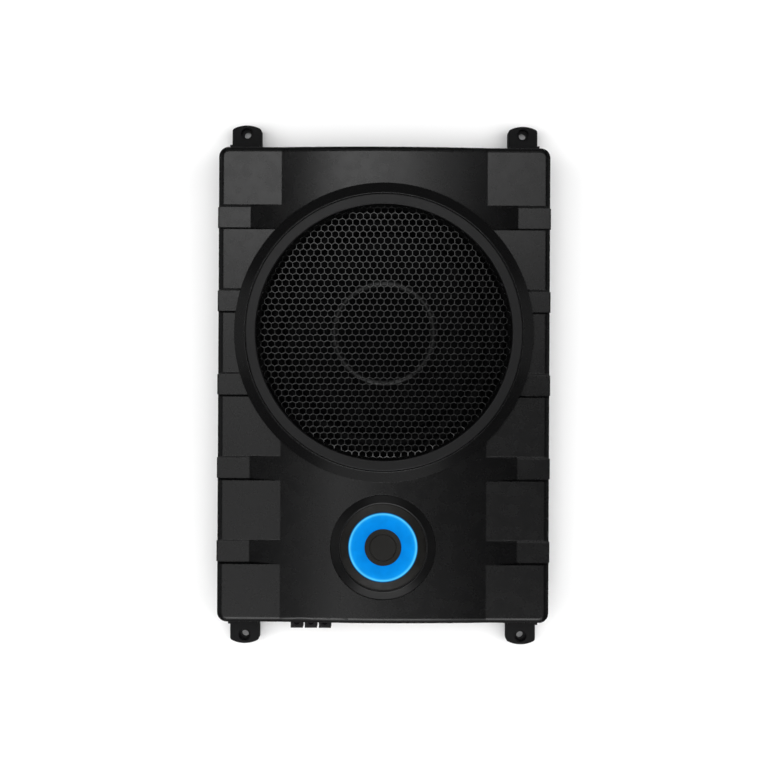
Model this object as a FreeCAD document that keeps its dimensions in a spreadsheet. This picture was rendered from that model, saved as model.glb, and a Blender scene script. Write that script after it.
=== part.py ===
import FreeCAD, Part
import math
import os

import Sketcher
from FreeCAD import Placement, Rotation, Vector

# A slim powered subwoofer that lies under a car seat. +Z is up, the control panel faces -Y, and the
# origin is on the floor under the middle of the object. All sizes are millimetres.

SIZES = {
    # housing: a flat box with a low arch along it, raised pads and recessed bands on its long edges
    "housing_length": 351.0,
    "housing_width": 245.0,
    "pad_height": 56.0,
    "wall": 3.0,
    "corner_radius": 7.0,
    "edge_radius": 4.0,
    "arch_half_width": 76.0,
    "arch_rise": 5.8,
    "band_depth": 4.1,
    "band_pitch": 61.8,
    "band_floor_width": 15.1,
    "band_mouth_width": 18.2,
    "band_proud": 1.0,
    # underside
    "plate_thickness": 1.5,
    "gasket_thickness": 0.8,
    "gasket_width": 2.4,
    "gasket_inset": 0.3,
    "base_boss_radius": 4.5,
    "base_boss_inset": 10.5,
    "base_boss_middle": 55.0,
    "base_screw_radius": 1.7,
    "base_screw_head": 3.4,
    "base_screw_length": 12.0,
    # collar round the driver
    "speaker_inset": 137.0,
    "recess_radius": 101.9,
    "collar_width": 8.1,
    "collar_edge_rise": 6.5,
    "collar_top_rise": 11.5,
    "collar_lip": 0.6,
    "ledge_drop": 2.0,
    "ledge_thickness": 3.0,
    "ledge_width": 9.9,
    # grille
    "ring_top_rise": 14.0,
    "ring_width": 7.8,
    "ring_thickness": 4.0,
    "ring_skirt": 2.4,
    "ring_round": 0.8,
    "ring_gap": 0.4,
    "mesh_overlap": 3.8,
    "mesh_thickness": 1.0,
    "mesh_border": 2.6,
    "mesh_border_drop": 1.3,
    "mesh_dome": 2.5,
    "clip_count": 6,
    "clip_width": 12.0,
    "clip_reach": 3.4,
    "clip_thickness": 1.2,
    # driver
    "flange_thickness": 1.5,
    "speaker_gasket": 1.0,
    "basket_gap": 1.9,
    "flange_width": 16.0,
    "basket_sheet": 1.5,
    "shoulder_gap": 2.5,
    "basket_depth": 29.0,
    "basket_floor_radius": 64.0,
    "spider_rise": 6.5,
    "basket_window_width": 34.0,
    "basket_window_count": 6,
    "screw_inset": 3.0,
    "driver_boss_radius": 2.9,
    "speaker_screw_count": 8,
    "speaker_screw_radius": 1.5,
    "speaker_screw_head": 2.8,
    "speaker_screw_head_height": 1.8,
    "speaker_screw_length": 12.0,
    "magnet_radius": 55.0,
    "magnet_bore": 30.0,
    "magnet_thickness": 13.0,
    "top_plate_radius": 52.0,
    "top_plate_thickness": 4.0,
    "gap_outer": 27.4,
    "pole_radius": 24.0,
    "pole_plate_thickness": 4.0,
    "boot_thickness": 1.5,
    "coil_radius": 25.4,
    "former_thickness": 0.5,
    "coil_thickness": 0.9,
    "coil_height": 8.0,
    "former_length": 24.0,
    "cone_inset": 11.0,
    "cone_thickness": 1.0,
    "cone_depth": 13.5,
    "surround_drop": 3.0,
    "cap_radius": 40.0,
    "cap_inner": 34.0,
    "cap_ring_height": 2.4,
    "cap_rise": 5.0,
    "surround_lip_width": 7.0,
    "surround_roll_inset": 1.0,
    "surround_height": 5.5,
    "surround_thickness": 0.8,
    "soft_gap": 0.05,
    "spider_radius": 61.0,
    "spider_thickness": 0.8,
    "spider_wave": 1.2,
    "terminal_board_width": 16.0,
    "terminal_board_depth": 5.0,
    "terminal_board_height": 6.0,
    "terminal_lug_spacing": 9.0,
    "lug_side": 4.0,
    "lug_thickness": 1.2,
    # badge
    "badge_inset": 56.2,
    "badge_radius": 38.4,
    "badge_edge": 1.9,
    "badge_height": 4.3,
    "badge_rim": 0.2,
    "badge_step": 32.4,
    "badge_hole": 31.2,
    "badge_sink": 2.5,
    "skirt_thickness": 1.6,
    "skirt_depth": 5.0,
    "lens_radius": 25.6,
    "lens_thickness": 3.0,
    "lens_ledge": 1.6,
    "emblem_radius": 13.5,
    "emblem_thickness": 0.8,
    "led_count": 12,
    "led_side": 3.0,
    "led_height": 1.4,
    "led_circle": 19.6,
    # control panel, in a recess of the end wall
    "panel_recess": 7.5,
    "panel_thickness": 1.5,
    "window_width": 172.0,
    "window_bottom": 8.0,
    "window_height": 38.0,
    "window_frame_side": 9.0,
    "window_frame_rise": 5.0,
    "panel_overlap_side": 8.0,
    "panel_overlap_top": 2.2,
    "panel_overlap_bottom": 4.0,
    "panel_screw_inset": 4.5,
    "fit_gap": 0.3,
    # controls
    "control_row": 35.0,
    "socket_row": 18.5,
    "knob_pitch": 18.0,
    "first_knob_x": 32.0,
    "knob_radius": 5.0,
    "knob_length": 5.5,
    "knob_gap": 0.4,
    "knob_mark_width": 0.9,
    "stem_radius": 1.9,
    "stem_length": 9.0,
    "running_gap": 0.05,
    "bushing_radius": 3.4,
    "pot_side": 12.0,
    "pot_depth": 7.0,
    "switch_x": 12.0,
    "switch_length": 9.0,
    "slider_length": 3.5,
    "slider_width": 3.0,
    "slider_travel": 3.0,
    "slider_reach": 2.5,
    "led_lamp_radius": 1.5,
    "led_lamp_x": 80.0,
    "led_lamp_pitch": 8.0,
    # sockets
    "jack_x": 30.0,
    "jack_pitch": 16.0,
    "jack_radius": 4.15,
    "jack_wall": 0.7,
    "jack_length": 9.0,
    "jack_body_width": 12.0,
    "jack_body_depth": 13.0,
    "contact_radius": 1.6,
    "contact_wall": 0.6,
    "high_level_x": 66.0,
    "high_level_width": 17.0,
    "high_level_height": 9.6,
    "remote_x": 8.0,
    "remote_width": 12.0,
    "remote_height": 9.6,
    "socket_wall": 1.2,
    "socket_depth": 11.0,
    "socket_proud": 4.0,
    "pin_side": 0.8,
    # power inlet
    "terminal_x": 53.5,
    "terminal_pitch": 10.5,
    "terminal_hood_width": 9.0,
    "terminal_height": 16.0,
    "terminal_bottom": 26.0,
    "terminal_proud": 5.8,
    "terminal_hood_length": 9.0,
    "terminal_body_depth": 9.0,
    "terminal_entry": 5.2,
    "terminal_screw_radius": 2.2,
    "terminal_screw_length": 5.0,
    "fuse_x": 22.0,
    "fuse_holder_width": 23.0,
    "fuse_width": 19.0,
    "fuse_thickness": 5.0,
    "fuse_pitch": 7.6,
    "fuse_depth": 8.0,
    "fuse_blade_width": 5.0,
    "fuse_blade_thickness": 0.7,
    "fuse_blade_length": 6.0,
    # amplifier
    "board_width": 168.0,
    "board_length": 95.0,
    "board_thickness": 1.6,
    "board_height": 10.5,
    "board_inset": 1.5,
    "post_x": 78.0,
    "post_inset": 6.0,
    "post_rear_inset": 16.0,
    "post_foot_radius": 2.2,
    "post_radius": 3.0,
    "board_screw_radius": 1.4,
    "board_screw_head": 2.6,
    "board_screw_head_height": 1.6,
    "board_screw_length": 8.0,
    "sink_width": 120.0,
    "sink_height": 28.0,
    "sink_wall": 3.0,
    "sink_fin_depth": 9.0,
    "sink_fin_thickness": 1.6,
    "sink_fin_count": 13,
    "sink_inset": 3.0,
    "transistor_count": 4,
    "transistor_pitch": 30.0,
    "transistor_width": 10.0,
    "transistor_height": 15.0,
    "transistor_thickness": 4.5,
    "transistor_lift": 6.0,
    "lead_side": 0.8,
    "lead_pitch": 2.5,
    "clip_bar": 1.0,
    "toroid_x": 42.0,
    "toroid_y": 40.0,
    "toroid_radius": 18.0,
    "toroid_bore": 9.0,
    "toroid_height": 12.0,
    "winding_thickness": 1.6,
    "winding_angle": 330.0,
    "capacitor_x": 14.0,
    "capacitor_pitch": 21.0,
    "capacitor_radius": 9.0,
    "capacitor_height": 30.0,
    "capacitor_groove": 0.6,
    "choke_x": 2.0,
    "choke_radius": 8.0,
    "choke_core": 5.0,
    "choke_height": 11.0,
    "choke_flange": 2.0,
    # mounting feet
    "bracket_x": 105.0,
    "bracket_width": 22.0,
    "bracket_reach": 21.5,
    "bracket_end_rise": 3.0,
    "bracket_height": 14.0,
    "bracket_round": 2.5,
    "bracket_plate": 4.0,
    "bracket_plate_height": 34.0,
    "bracket_hole_radius": 2.75,
    "bracket_bore_radius": 4.5,
    "bracket_bore_depth": 5.0,
    "bracket_hole_inset": 6.5,
    "bracket_screw_low": 20.0,
    "bracket_screw_pitch": 8.5,
    "bracket_screw_radius": 1.6,
    "bracket_screw_head": 3.0,
    "bracket_screw_length": 12.0,
    "bracket_boss_radius": 3.6,
    "bracket_boss_length": 9.0,
    # wiring
    "lead_radius": 0.8,
    "lead_x": 71.0,
    "lead_gap": 5.0,
    "lead_start": 18.0,
}


class Size:
    """A length that knows its number and the sheet expression that gives it."""

    def __init__(self, number, text):
        self.number = number
        self.text = text

    def __add__(self, other):
        return join(self, "+", other)

    def __radd__(self, other):
        return join(other, "+", self)

    def __sub__(self, other):
        return join(self, "-", other)

    def __rsub__(self, other):
        return join(other, "-", self)

    def __mul__(self, other):
        return join(self, "*", other)

    def __rmul__(self, other):
        return join(other, "*", self)

    def __truediv__(self, other):
        return join(self, "/", other)

    def __neg__(self):
        return join(0, "-", self)


def as_size(value):
    """A plain number made into a Size; a Size is returned as it is."""
    if isinstance(value, Size):
        return value
    return Size(float(value), repr(float(value)))


def join(left, sign, right):
    """The sum, difference, product or quotient of two sizes."""
    left, right = as_size(left), as_size(right)
    numbers = {
        "+": left.number + right.number,
        "-": left.number - right.number,
        "*": left.number * right.number,
        "/": left.number / right.number if right.number else 0.0,
    }
    return Size(numbers[sign], f"({left.text} {sign} {right.text})")


class Sheet:
    """The spreadsheet of driving sizes, read by name."""

    def __init__(self, document):
        self.cells = document.addObject("Spreadsheet::Sheet", "Sizes")
        for row, (name, number) in enumerate(SIZES.items(), start=1):
            self.cells.set(f"A{row}", name)
            self.cells.set(f"B{row}", str(number))
            self.cells.setAlias(f"B{row}", name)

    def __getattr__(self, name):
        return Size(float(SIZES[name]), "Sizes." + name)


doc = FreeCAD.newDocument("Subwoofer")
s = Sheet(doc)
doc.recompute()
nodes = {}

ORIGIN = (0, 0, 0)
TURN_NONE = Rotation()
FACE_FRONT = Rotation(Vector(1, 0, 0), 90)    # a piece's own +Z is turned to -Y
FACE_BACK = Rotation(Vector(1, 0, 0), -90)    # a piece's own +Z is turned to +Y


# ---------------------------------------------------------------- building blocks

def bind(thing, prop, value):
    """Bind a property to the expression of a size."""
    thing.setExpression(prop, as_size(value).text)


def place(thing, at, turn=TURN_NONE):
    """Place an object, with its position bound to sizes."""
    numbers = [as_size(value).number for value in at]
    thing.Placement = Placement(Vector(*numbers), turn)
    for axis, value in zip("xyz", at):
        bind(thing, f"Placement.Base.{axis}", value)
    return thing


def node(label, thing):
    """Make an object one of the part's sub-parts."""
    thing.Label = label
    nodes[label] = thing
    return thing


def cylinder(name, radius, height, at=ORIGIN, turn=TURN_NONE):
    """A cylinder that stands on its placement."""
    thing = doc.addObject("Part::Cylinder", name)
    bind(thing, "Radius", radius)
    bind(thing, "Height", height)
    return place(thing, at, turn)


def block(name, size, at, turn=TURN_NONE):
    """A box centred in X and Y, with its lowest face at the given height."""
    thing = doc.addObject("Part::Box", name)
    for prop, value in zip(("Length", "Width", "Height"), size):
        bind(thing, prop, value)
    return place(thing, (at[0] - size[0] / 2, at[1] - size[1] / 2, at[2]), turn)


def fused(name, pieces):
    """Several touching pieces as one solid."""
    thing = doc.addObject("Part::MultiFuse", name)
    thing.Shapes = list(pieces)
    thing.Refine = True
    return thing


def cut(name, base, tools):
    """A piece with one or more tools cut out of it."""
    thing = doc.addObject("Part::Cut", name)
    thing.Base = base
    thing.Tool = tools[0] if len(tools) == 1 else group(name + "_tools", tools)
    thing.Refine = True
    return thing


def group(name, pieces):
    """Separate solids kept together in one sub-part."""
    thing = doc.addObject("Part::Compound", name)
    thing.Links = list(pieces)
    return thing


def plane_of(body, role):
    """One of a body's own origin planes or axes."""
    return [item for item in body.Origin.OriginFeatures if item.Role == role][0]


def start_end(geometry, corner):
    """Which end of a sketch line or arc lies at a corner."""
    return 1 if (geometry.StartPoint - corner).Length < 1e-6 else 2


def outline(body, name, plane, points, arcs=None):
    """A closed sketch through the points. The side after a point in arcs is an arc of that rise and radius."""
    arcs = arcs or {}
    sketch = body.newObject("Sketcher::SketchObject", name)
    sketch.AttachmentSupport = [(plane_of(body, plane), "")]
    sketch.MapMode = "FlatFace"
    count = len(points)
    corners = [Vector(as_size(a).number, as_size(b).number, 0) for a, b in points]
    for index, corner in enumerate(corners):
        following = corners[(index + 1) % count]
        if index in arcs:
            top = (corner + following) / 2 + Vector(0, as_size(arcs[index][0]).number, 0)
            sketch.addGeometry(Part.Arc(corner, top, following))
        else:
            sketch.addGeometry(Part.LineSegment(corner, following))
    starts = [start_end(sketch.Geometry[index], corners[index]) for index in range(count)]
    for index in range(count):
        following = (index + 1) % count
        joint = Sketcher.Constraint("Coincident", index, 3 - starts[index], following, starts[following])
        sketch.addConstraint(joint)
    for index, point in enumerate(points):
        for kind, value in zip(("DistanceX", "DistanceY"), point):
            value = as_size(value)
            place_of = Sketcher.Constraint(kind, -1, 1, index, starts[index], value.number)
            number = sketch.addConstraint(place_of)
            sketch.setExpression(f"Constraints[{number}]", value.text)
    for index, (_, radius) in arcs.items():
        number = sketch.addConstraint(Sketcher.Constraint("Radius", index, radius.number))
        sketch.setExpression(f"Constraints[{number}]", radius.text)
    return sketch


def prism(name, plane, points, length, middle=True, arcs=None):
    """A body made by padding one outline, both ways from its plane or one way."""
    body = doc.addObject("PartDesign::Body", name)
    pad = body.newObject("PartDesign::Pad", name + "_pad")
    pad.Profile = outline(body, name + "_outline", plane, points, arcs)
    pad.SideType = "Symmetric" if middle else "One side"
    bind(pad, "Length", length)
    body.Tip = pad
    return body


def turned(name, points, at=ORIGIN, turn=TURN_NONE, angle=360):
    """A body made by revolving an outline of (radius, height) points about its own Z axis."""
    body = doc.addObject("PartDesign::Body", name)
    sketch = outline(body, name + "_outline", "XZ_Plane", points)
    revolved = body.newObject("PartDesign::Revolution", name + "_turn")
    revolved.Profile = sketch
    revolved.ReferenceAxis = (sketch, ["V_Axis"])
    bind(revolved, "Angle", angle)
    body.Tip = revolved
    return place(body, at, turn)


def tube(name, inner, outer, low, high, at=ORIGIN, turn=TURN_NONE):
    """A plain ring from one height to another."""
    points = [(inner, low), (outer, low), (outer, high), (inner, high)]
    return turned(name, points, at, turn)


def rounded(body, name, radius, wanted):
    """Round those edges of a body that a rule picks out."""
    doc.recompute()
    base = body.Tip
    edges = [f"Edge{index}" for index, edge in enumerate(base.Shape.Edges, start=1) if wanted(edge)]
    fillet = body.newObject("PartDesign::Fillet", name)
    fillet.Base = (base, edges)
    bind(fillet, "Radius", radius)
    body.Tip = fillet
    return body


def upright_at(edge, half_x, half_y):
    """Whether an edge is one of the four upright corners of a box."""
    middle = edge.CenterOfMass
    return abs(abs(middle.x) - half_x) < 1e-3 and abs(abs(middle.y) - half_y) < 1e-3


def on_circle(count, radius, start_degrees=0.0):
    """Evenly spaced (x, y) places on a circle about the origin."""
    places = []
    for index in range(int(count.number)):
        angle = f"({start_degrees} deg + {index} * 360 deg / {int(count.number)})"
        turn = math.radians(start_degrees + index * 360.0 / count.number)
        radius = as_size(radius)
        across = Size(radius.number * math.cos(turn), f"({radius.text} * cos{angle})")
        along = Size(radius.number * math.sin(turn), f"({radius.text} * sin{angle})")
        places.append((across, along, math.degrees(turn)))
    return places


def arc_radius(half_chord, rise):
    """The radius of an arc that rises by this much over half its chord."""
    return (half_chord * half_chord + rise * rise) / (2 * rise)


# ---------------------------------------------------------------- shared places

half_length = s.housing_length / 2
half_width = s.housing_width / 2
housing_base = s.plate_thickness + s.gasket_thickness
arch_top = s.pad_height + s.arch_rise
arch_radius = arc_radius(s.arch_half_width, s.arch_rise)
band_floor = s.pad_height - s.band_depth
speaker_y = half_length - s.speaker_inset
collar_radius = s.recess_radius + s.collar_width
collar_edge_height = s.pad_height + s.collar_edge_rise
collar_top_height = s.pad_height + s.collar_top_rise
ledge_height = s.pad_height - s.ledge_drop
cutout_radius = s.recess_radius - s.ledge_width
badge_y = s.badge_inset - half_length
BAND_STEPS = (-2, -1, 0, 1, 2)
BOTH_SIDES = (-1, 1)

panel_front = s.panel_recess - half_length
panel_back = panel_front + s.panel_thickness
board_top = s.board_height + s.board_thickness
board_front = panel_back + s.board_inset
board_back = board_front + s.board_length

ring_outer = s.recess_radius - s.ring_gap
ring_opening = ring_outer - s.ring_width
ring_top_height = s.pad_height + s.ring_top_rise
flange_base = ledge_height + s.speaker_gasket
flange_top = flange_base + s.flange_thickness
basket_radius = s.recess_radius - s.basket_gap
basket_opening = basket_radius - s.flange_width
basket_shoulder = cutout_radius - s.shoulder_gap
basket_floor_height = flange_base - s.basket_depth
spider_height = basket_floor_height + s.spider_rise
screw_circle = cutout_radius + s.screw_inset
screw_start = 180.0 / SIZES["speaker_screw_count"]
cone_radius = basket_opening - s.cone_inset
cone_edge_height = flange_top - s.surround_drop
cone_neck_height = flange_top - s.cone_depth
surround_roll = basket_opening + s.surround_roll_inset
surround_lip = basket_opening + s.surround_lip_width
top_plate_base = basket_floor_height - s.top_plate_thickness
magnet_base = top_plate_base - s.magnet_thickness
pole_base = magnet_base - s.pole_plate_thickness
former_outer = s.coil_radius + s.former_thickness
AT_SPEAKER = (0, speaker_y, 0)
AT_BADGE = (0, badge_y, 0)


# ---------------------------------------------------------------- housing

def housing_form():
    """The outer block: an arch along Y between flat pads, with rounded corners and edges."""
    points = [
        (-half_width, housing_base),
        (half_width, housing_base),
        (half_width, s.pad_height),
        (s.arch_half_width, s.pad_height),
        (-s.arch_half_width, s.pad_height),
        (-half_width, s.pad_height),
    ]
    form = prism("housing_form", "XZ_Plane", points, s.housing_length, arcs={3: (s.arch_rise, arch_radius)})
    half_x, half_y = half_width.number, half_length.number
    rounded(form, "housing_corners", s.corner_radius, lambda edge: upright_at(edge, half_x, half_y))
    reach = s.edge_radius.number
    level = s.pad_height.number - 0.1

    def top_rim(edge):
        middle = edge.CenterOfMass
        outside = abs(middle.x) > half_x - reach or abs(middle.y) > half_y - reach
        return outside and middle.z > level

    return rounded(form, "housing_top_edges", s.edge_radius, top_rim)


def band_cutters():
    """Tapered channels that leave the recessed bands between the pads."""
    over = 1.25
    mouth = s.band_floor_width + (s.band_mouth_width - s.band_floor_width) * over
    length = half_width - s.arch_half_width + s.wall
    cutters = []
    for side in BOTH_SIDES:
        for step in BAND_STEPS:
            centre = s.band_pitch * step
            points = [
                (centre - s.band_floor_width / 2, band_floor),
                (centre + s.band_floor_width / 2, band_floor),
                (centre + mouth / 2, band_floor + s.band_depth * over),
                (centre - mouth / 2, band_floor + s.band_depth * over),
            ]
            cutter = prism("band_cutter", "YZ_Plane", points, length)
            middle = s.arch_half_width + length / 2
            cutters.append(place(cutter, (middle * side, 0, 0)))
    arch = cylinder("arch_keep", arch_radius, s.housing_length + 2 * s.wall,
                    (0, -half_length - s.wall, arch_top - arch_radius), FACE_BACK)
    return cut("band_channels", group("band_cutters", cutters), [arch])


def band_ribs():
    """The bands' own walls, which stand a little proud of the sides."""
    ribs = []
    rib_half = half_width + s.band_proud
    low_rib = band_floor - s.edge_radius
    for step in BAND_STEPS:
        centre = s.band_pitch * step
        size = (rib_half * 2, s.band_floor_width, low_rib - housing_base)
        ribs.append(block("band_rib", size, (0, centre, housing_base)))
        top = ((rib_half - s.edge_radius) * 2, s.band_floor_width, band_floor - housing_base)
        ribs.append(block("band_rib_top", top, (0, centre, housing_base)))
        for side in BOTH_SIDES:
            at = ((rib_half - s.edge_radius) * side, centre - s.band_floor_width / 2, low_rib)
            ribs.append(cylinder("band_rib_round", s.edge_radius, s.band_floor_width, at, FACE_BACK))
    return ribs


def housing_cavity():
    """The hollow inside the housing, one wall smaller than its arch, floor and sides."""
    inner_x = half_width - s.wall
    inner_pad = band_floor - s.wall
    span = s.arch_half_width
    points = [
        (-inner_x, 0),
        (inner_x, 0),
        (inner_x, inner_pad),
        (span, inner_pad),
        (-span, inner_pad),
        (-inner_x, inner_pad),
    ]
    cavity_rise = arch_top - s.wall - inner_pad
    cavity = prism("housing_cavity", "XZ_Plane", points, s.housing_length - 2 * s.wall,
                   arcs={3: (cavity_rise, arc_radius(span, cavity_rise))})
    half_x = inner_x.number
    half_y = half_length.number - s.wall.number
    return rounded(cavity, "cavity_corners", s.corner_radius - s.wall,
                   lambda edge: upright_at(edge, half_x, half_y))


def collar():
    """The sloped collar round the driver, solid down to the ledge that the driver sits on."""
    points = [
        (0, ledge_height - s.ledge_thickness),
        (collar_radius, ledge_height - s.ledge_thickness),
        (collar_radius, collar_edge_height),
        (s.recess_radius + s.collar_lip, collar_top_height),
        (0, collar_top_height),
    ]
    return turned("collar_form", points, AT_SPEAKER)


def base_boss_places():
    """Where the base plate is screwed: the four corners and the middle of each side."""
    across = half_width - s.base_boss_inset
    along = half_length - s.base_boss_inset
    places = []
    for side in BOTH_SIDES:
        for y in (-along, -s.base_boss_middle, s.base_boss_middle, along):
            places.append((across * side, y))
    return places


def bracket_places():
    """Each mounting foot's name, its X and which end wall it is on."""
    return [
        ("mounting_foot_front_left", -s.bracket_x, -1),
        ("mounting_foot_front_right", s.bracket_x, -1),
        ("mounting_foot_rear_left", -s.bracket_x, 1),
        ("mounting_foot_rear_right", s.bracket_x, 1),
    ]


def bracket_screw_places():
    """Where the feet's screws enter the end walls."""
    places = []
    for _, x, end in bracket_places():
        for step in range(2):
            places.append((x, end, s.bracket_screw_low + s.bracket_screw_pitch * step))
    return places


def housing_bosses():
    """Screw posts inside the housing, and the frame behind the control window."""
    bosses = []
    top = band_floor - s.wall / 2
    for x, y in base_boss_places():
        bosses.append(cylinder("base_boss", s.base_boss_radius, top - s.plate_thickness,
                               (x, y, s.plate_thickness)))
    for x, y, _ in on_circle(s.speaker_screw_count, screw_circle, screw_start):
        low = flange_top - s.speaker_screw_length
        at = (x, y + speaker_y, low)
        bosses.append(cylinder("driver_boss", s.driver_boss_radius,
                               ledge_height - s.ledge_thickness / 2 - low, at))
    for x, end, z in bracket_screw_places():
        turn = FACE_FRONT if end > 0 else FACE_BACK
        at = (x, (half_length - s.wall / 2) * end, z)
        bosses.append(cylinder("bracket_boss", s.bracket_boss_radius,
                               s.bracket_boss_length + s.wall / 2, at, turn))
    frame_size = (
        s.window_width + 2 * s.window_frame_side,
        s.panel_recess - s.edge_radius / 2,
        s.window_height + 2 * s.window_frame_rise,
    )
    frame_at = (0, panel_front - frame_size[1] / 2, s.window_bottom - s.window_frame_rise)
    bosses.append(block("window_frame", frame_size, frame_at))
    return bosses


def panel_screw_places():
    """The (x, z) places of the screws that hold the control panel."""
    across = s.window_width / 2 + s.panel_screw_inset
    low = s.window_bottom + s.panel_screw_inset
    high = s.window_bottom + s.window_height - s.panel_screw_inset
    return [(across * side, z) for side in BOTH_SIDES for z in (low, high)]


def housing_openings():
    """Everything that is cut through the finished shell."""
    over = s.wall
    cuts = [
        cylinder("driver_recess", s.recess_radius, collar_top_height, (0, speaker_y, ledge_height)),
        cylinder("driver_cutout", cutout_radius, s.ledge_thickness * 3,
                 (0, speaker_y, ledge_height - s.ledge_thickness * 2)),
        cylinder("badge_seat", s.badge_radius + s.fit_gap, s.badge_sink * 4,
                 (0, badge_y, arch_top - s.badge_sink)),
        cylinder("badge_opening", s.badge_hole, s.wall * 6, (0, badge_y, arch_top - s.wall * 3)),
    ]
    window = (s.window_width, s.panel_recess + 2 * over, s.window_height)
    cuts.append(block("control_window", window, (0, panel_front - window[1] / 2 + over, s.window_bottom)))
    for x, y in base_boss_places():
        cuts.append(cylinder("base_hole", s.base_screw_radius, s.base_screw_length, (x, y, 0)))
    for x, y, _ in on_circle(s.speaker_screw_count, screw_circle, screw_start):
        at = (x, y + speaker_y, flange_top - s.speaker_screw_length)
        cuts.append(cylinder("driver_hole", s.speaker_screw_radius, s.speaker_screw_length, at))
    for x, end, z in bracket_screw_places():
        turn = FACE_FRONT if end > 0 else FACE_BACK
        at = (x, (half_length + s.bracket_plate) * end, z)
        cuts.append(cylinder("bracket_hole", s.bracket_screw_radius, s.bracket_screw_length, at, turn))
    for x, z in panel_screw_places():
        at = (x, panel_back + over, z)
        cuts.append(cylinder("panel_hole", s.board_screw_radius, s.board_screw_length + over, at, FACE_FRONT))
    return cuts


def build_housing():
    pads = cut("housing_pads", housing_form(), [band_cutters()])
    outside = fused("housing_outside", [pads] + band_ribs())
    shell = cut("housing_shell", outside, [housing_cavity()])
    filled = fused("housing_filled", [shell, collar()] + housing_bosses())
    node("housing", cut("housing", filled, housing_openings()))


# ---------------------------------------------------------------- underside

def plan_outline(inset):
    """The housing's plan, made smaller by an inset."""
    x = half_width - inset
    y = half_length - inset
    return [(-x, -y), (x, -y), (x, y), (-x, y)]


def plan_plate(name, inset, low, thickness):
    """A plate with the housing's plan and rounded corners."""
    body = prism(name, "XY_Plane", plan_outline(inset), thickness, middle=False)
    half_x = half_width.number - as_size(inset).number
    half_y = half_length.number - as_size(inset).number
    rounded(body, name + "_corners", s.corner_radius - inset, lambda edge: upright_at(edge, half_x, half_y))
    return place(body, (0, 0, low))


def board_posts():
    """The (x, y) places of the posts under the amplifier board."""
    across = (-s.post_x, -s.choke_x * 2, s.post_x)
    along = (board_front + s.post_inset, board_back - s.post_rear_inset)
    return [(x, y) for x in across for y in along]


def build_underside():
    plate = plan_plate("plate_form", 0, 0, s.plate_thickness)
    holes = []
    for x, y in base_boss_places():
        head = [
            (0, 0),
            (s.base_screw_head, 0),
            (s.base_screw_radius, s.plate_thickness),
            (0, s.plate_thickness),
        ]
        holes.append(turned("plate_hole", head, (x, y, 0)))
    for x, y in board_posts():
        holes.append(cylinder("post_hole", s.post_foot_radius, s.plate_thickness, (x, y, 0)))
    node("base_plate", cut("base_plate", plate, holes))

    outer = plan_plate("gasket_form", s.gasket_inset, s.plate_thickness, s.gasket_thickness)
    inner_inset = s.gasket_inset + s.gasket_width
    inner = plan_plate("gasket_inside", inner_inset, s.plate_thickness, s.gasket_thickness)
    node("base_gasket", cut("base_gasket", outer, [inner]))

    screws = []
    for x, y in base_boss_places():
        points = [
            (0, 0),
            (s.base_screw_head, 0),
            (s.base_screw_radius, s.plate_thickness),
            (s.base_screw_radius, s.base_screw_length),
            (0, s.base_screw_length),
        ]
        screws.append(turned("base_screw", points, (x, y, 0)))
    node("base_screws", group("base_screws", screws))


# ---------------------------------------------------------------- grille

def build_mesh(low):
    """The grille's sheet: a shallow dome whose border steps down to a flat rim under the ring."""
    crown = ring_opening - s.mesh_border
    shoulder = low + s.mesh_border_drop
    steps = 6
    under = []
    for index in range(steps + 1):
        share = index / steps
        under.append((crown * share, shoulder + s.mesh_dome * (1 - share * share)))
    under.append((ring_opening - s.fit_gap, low))
    under.append((ring_opening + s.mesh_overlap, low))
    over = [(radius, height + s.mesh_thickness) for radius, height in reversed(under)]
    node("grille_mesh", turned("grille_mesh", under + over, AT_SPEAKER))


def build_grille():
    outer = ring_outer
    mesh_top = ring_top_height - s.ring_thickness
    top = ring_top_height
    points = [
        (ring_opening, mesh_top),
        (outer - s.ring_skirt, mesh_top),
        (outer - s.ring_skirt, flange_top),
        (outer, flange_top),
        (outer, top - s.ring_round),
        (outer - s.ring_round, top),
        (ring_opening + s.ring_round, top),
        (ring_opening, top - s.ring_round),
    ]
    node("grille_ring", turned("grille_ring", points, AT_SPEAKER))
    low = mesh_top - s.mesh_thickness
    build_mesh(low)

    clips = []
    inner = outer - s.ring_skirt
    for x, y, degrees in on_circle(s.clip_count, inner - s.clip_reach / 2 - s.fit_gap):
        size = (s.clip_reach, s.clip_width, s.clip_thickness)
        clip = doc.addObject("Part::Box", "grille_clip")
        for prop, value in zip(("Length", "Width", "Height"), size):
            bind(clip, prop, value)
        clip.Placement = Placement(Vector(), Rotation(Vector(0, 0, 1), degrees))
        turn = math.radians(degrees)
        reach, width = size[0] / 2, size[1] / 2
        shift_x = reach * math.cos(turn) - width * math.sin(turn)
        shift_y = reach * math.sin(turn) + width * math.cos(turn)
        bind(clip, "Placement.Base.x", x - shift_x)
        bind(clip, "Placement.Base.y", y + speaker_y - shift_y)
        bind(clip, "Placement.Base.z", low - s.clip_thickness)
        clips.append(clip)
    node("grille_clips", group("grille_clips", clips))


# ---------------------------------------------------------------- driver

def basket_windows():
    """The openings between the basket's arms."""
    windows = []
    low = spider_height + s.basket_sheet * 2
    for _, _, degrees in on_circle(s.basket_window_count, 1):
        window = doc.addObject("Part::Box", "basket_window")
        bind(window, "Length", basket_radius)
        bind(window, "Width", s.basket_window_width)
        bind(window, "Height", flange_base - s.basket_sheet * 2 - low)
        angle = Rotation(Vector(0, 0, 1), degrees)
        window.Placement = Placement(Vector(), angle)
        side = angle.multVec(Vector(0, 1, 0))
        bind(window, "Placement.Base.x", -s.basket_window_width / 2 * side.x)
        bind(window, "Placement.Base.y", speaker_y - s.basket_window_width / 2 * side.y)
        bind(window, "Placement.Base.z", low)
        windows.append(window)
    return windows


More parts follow.
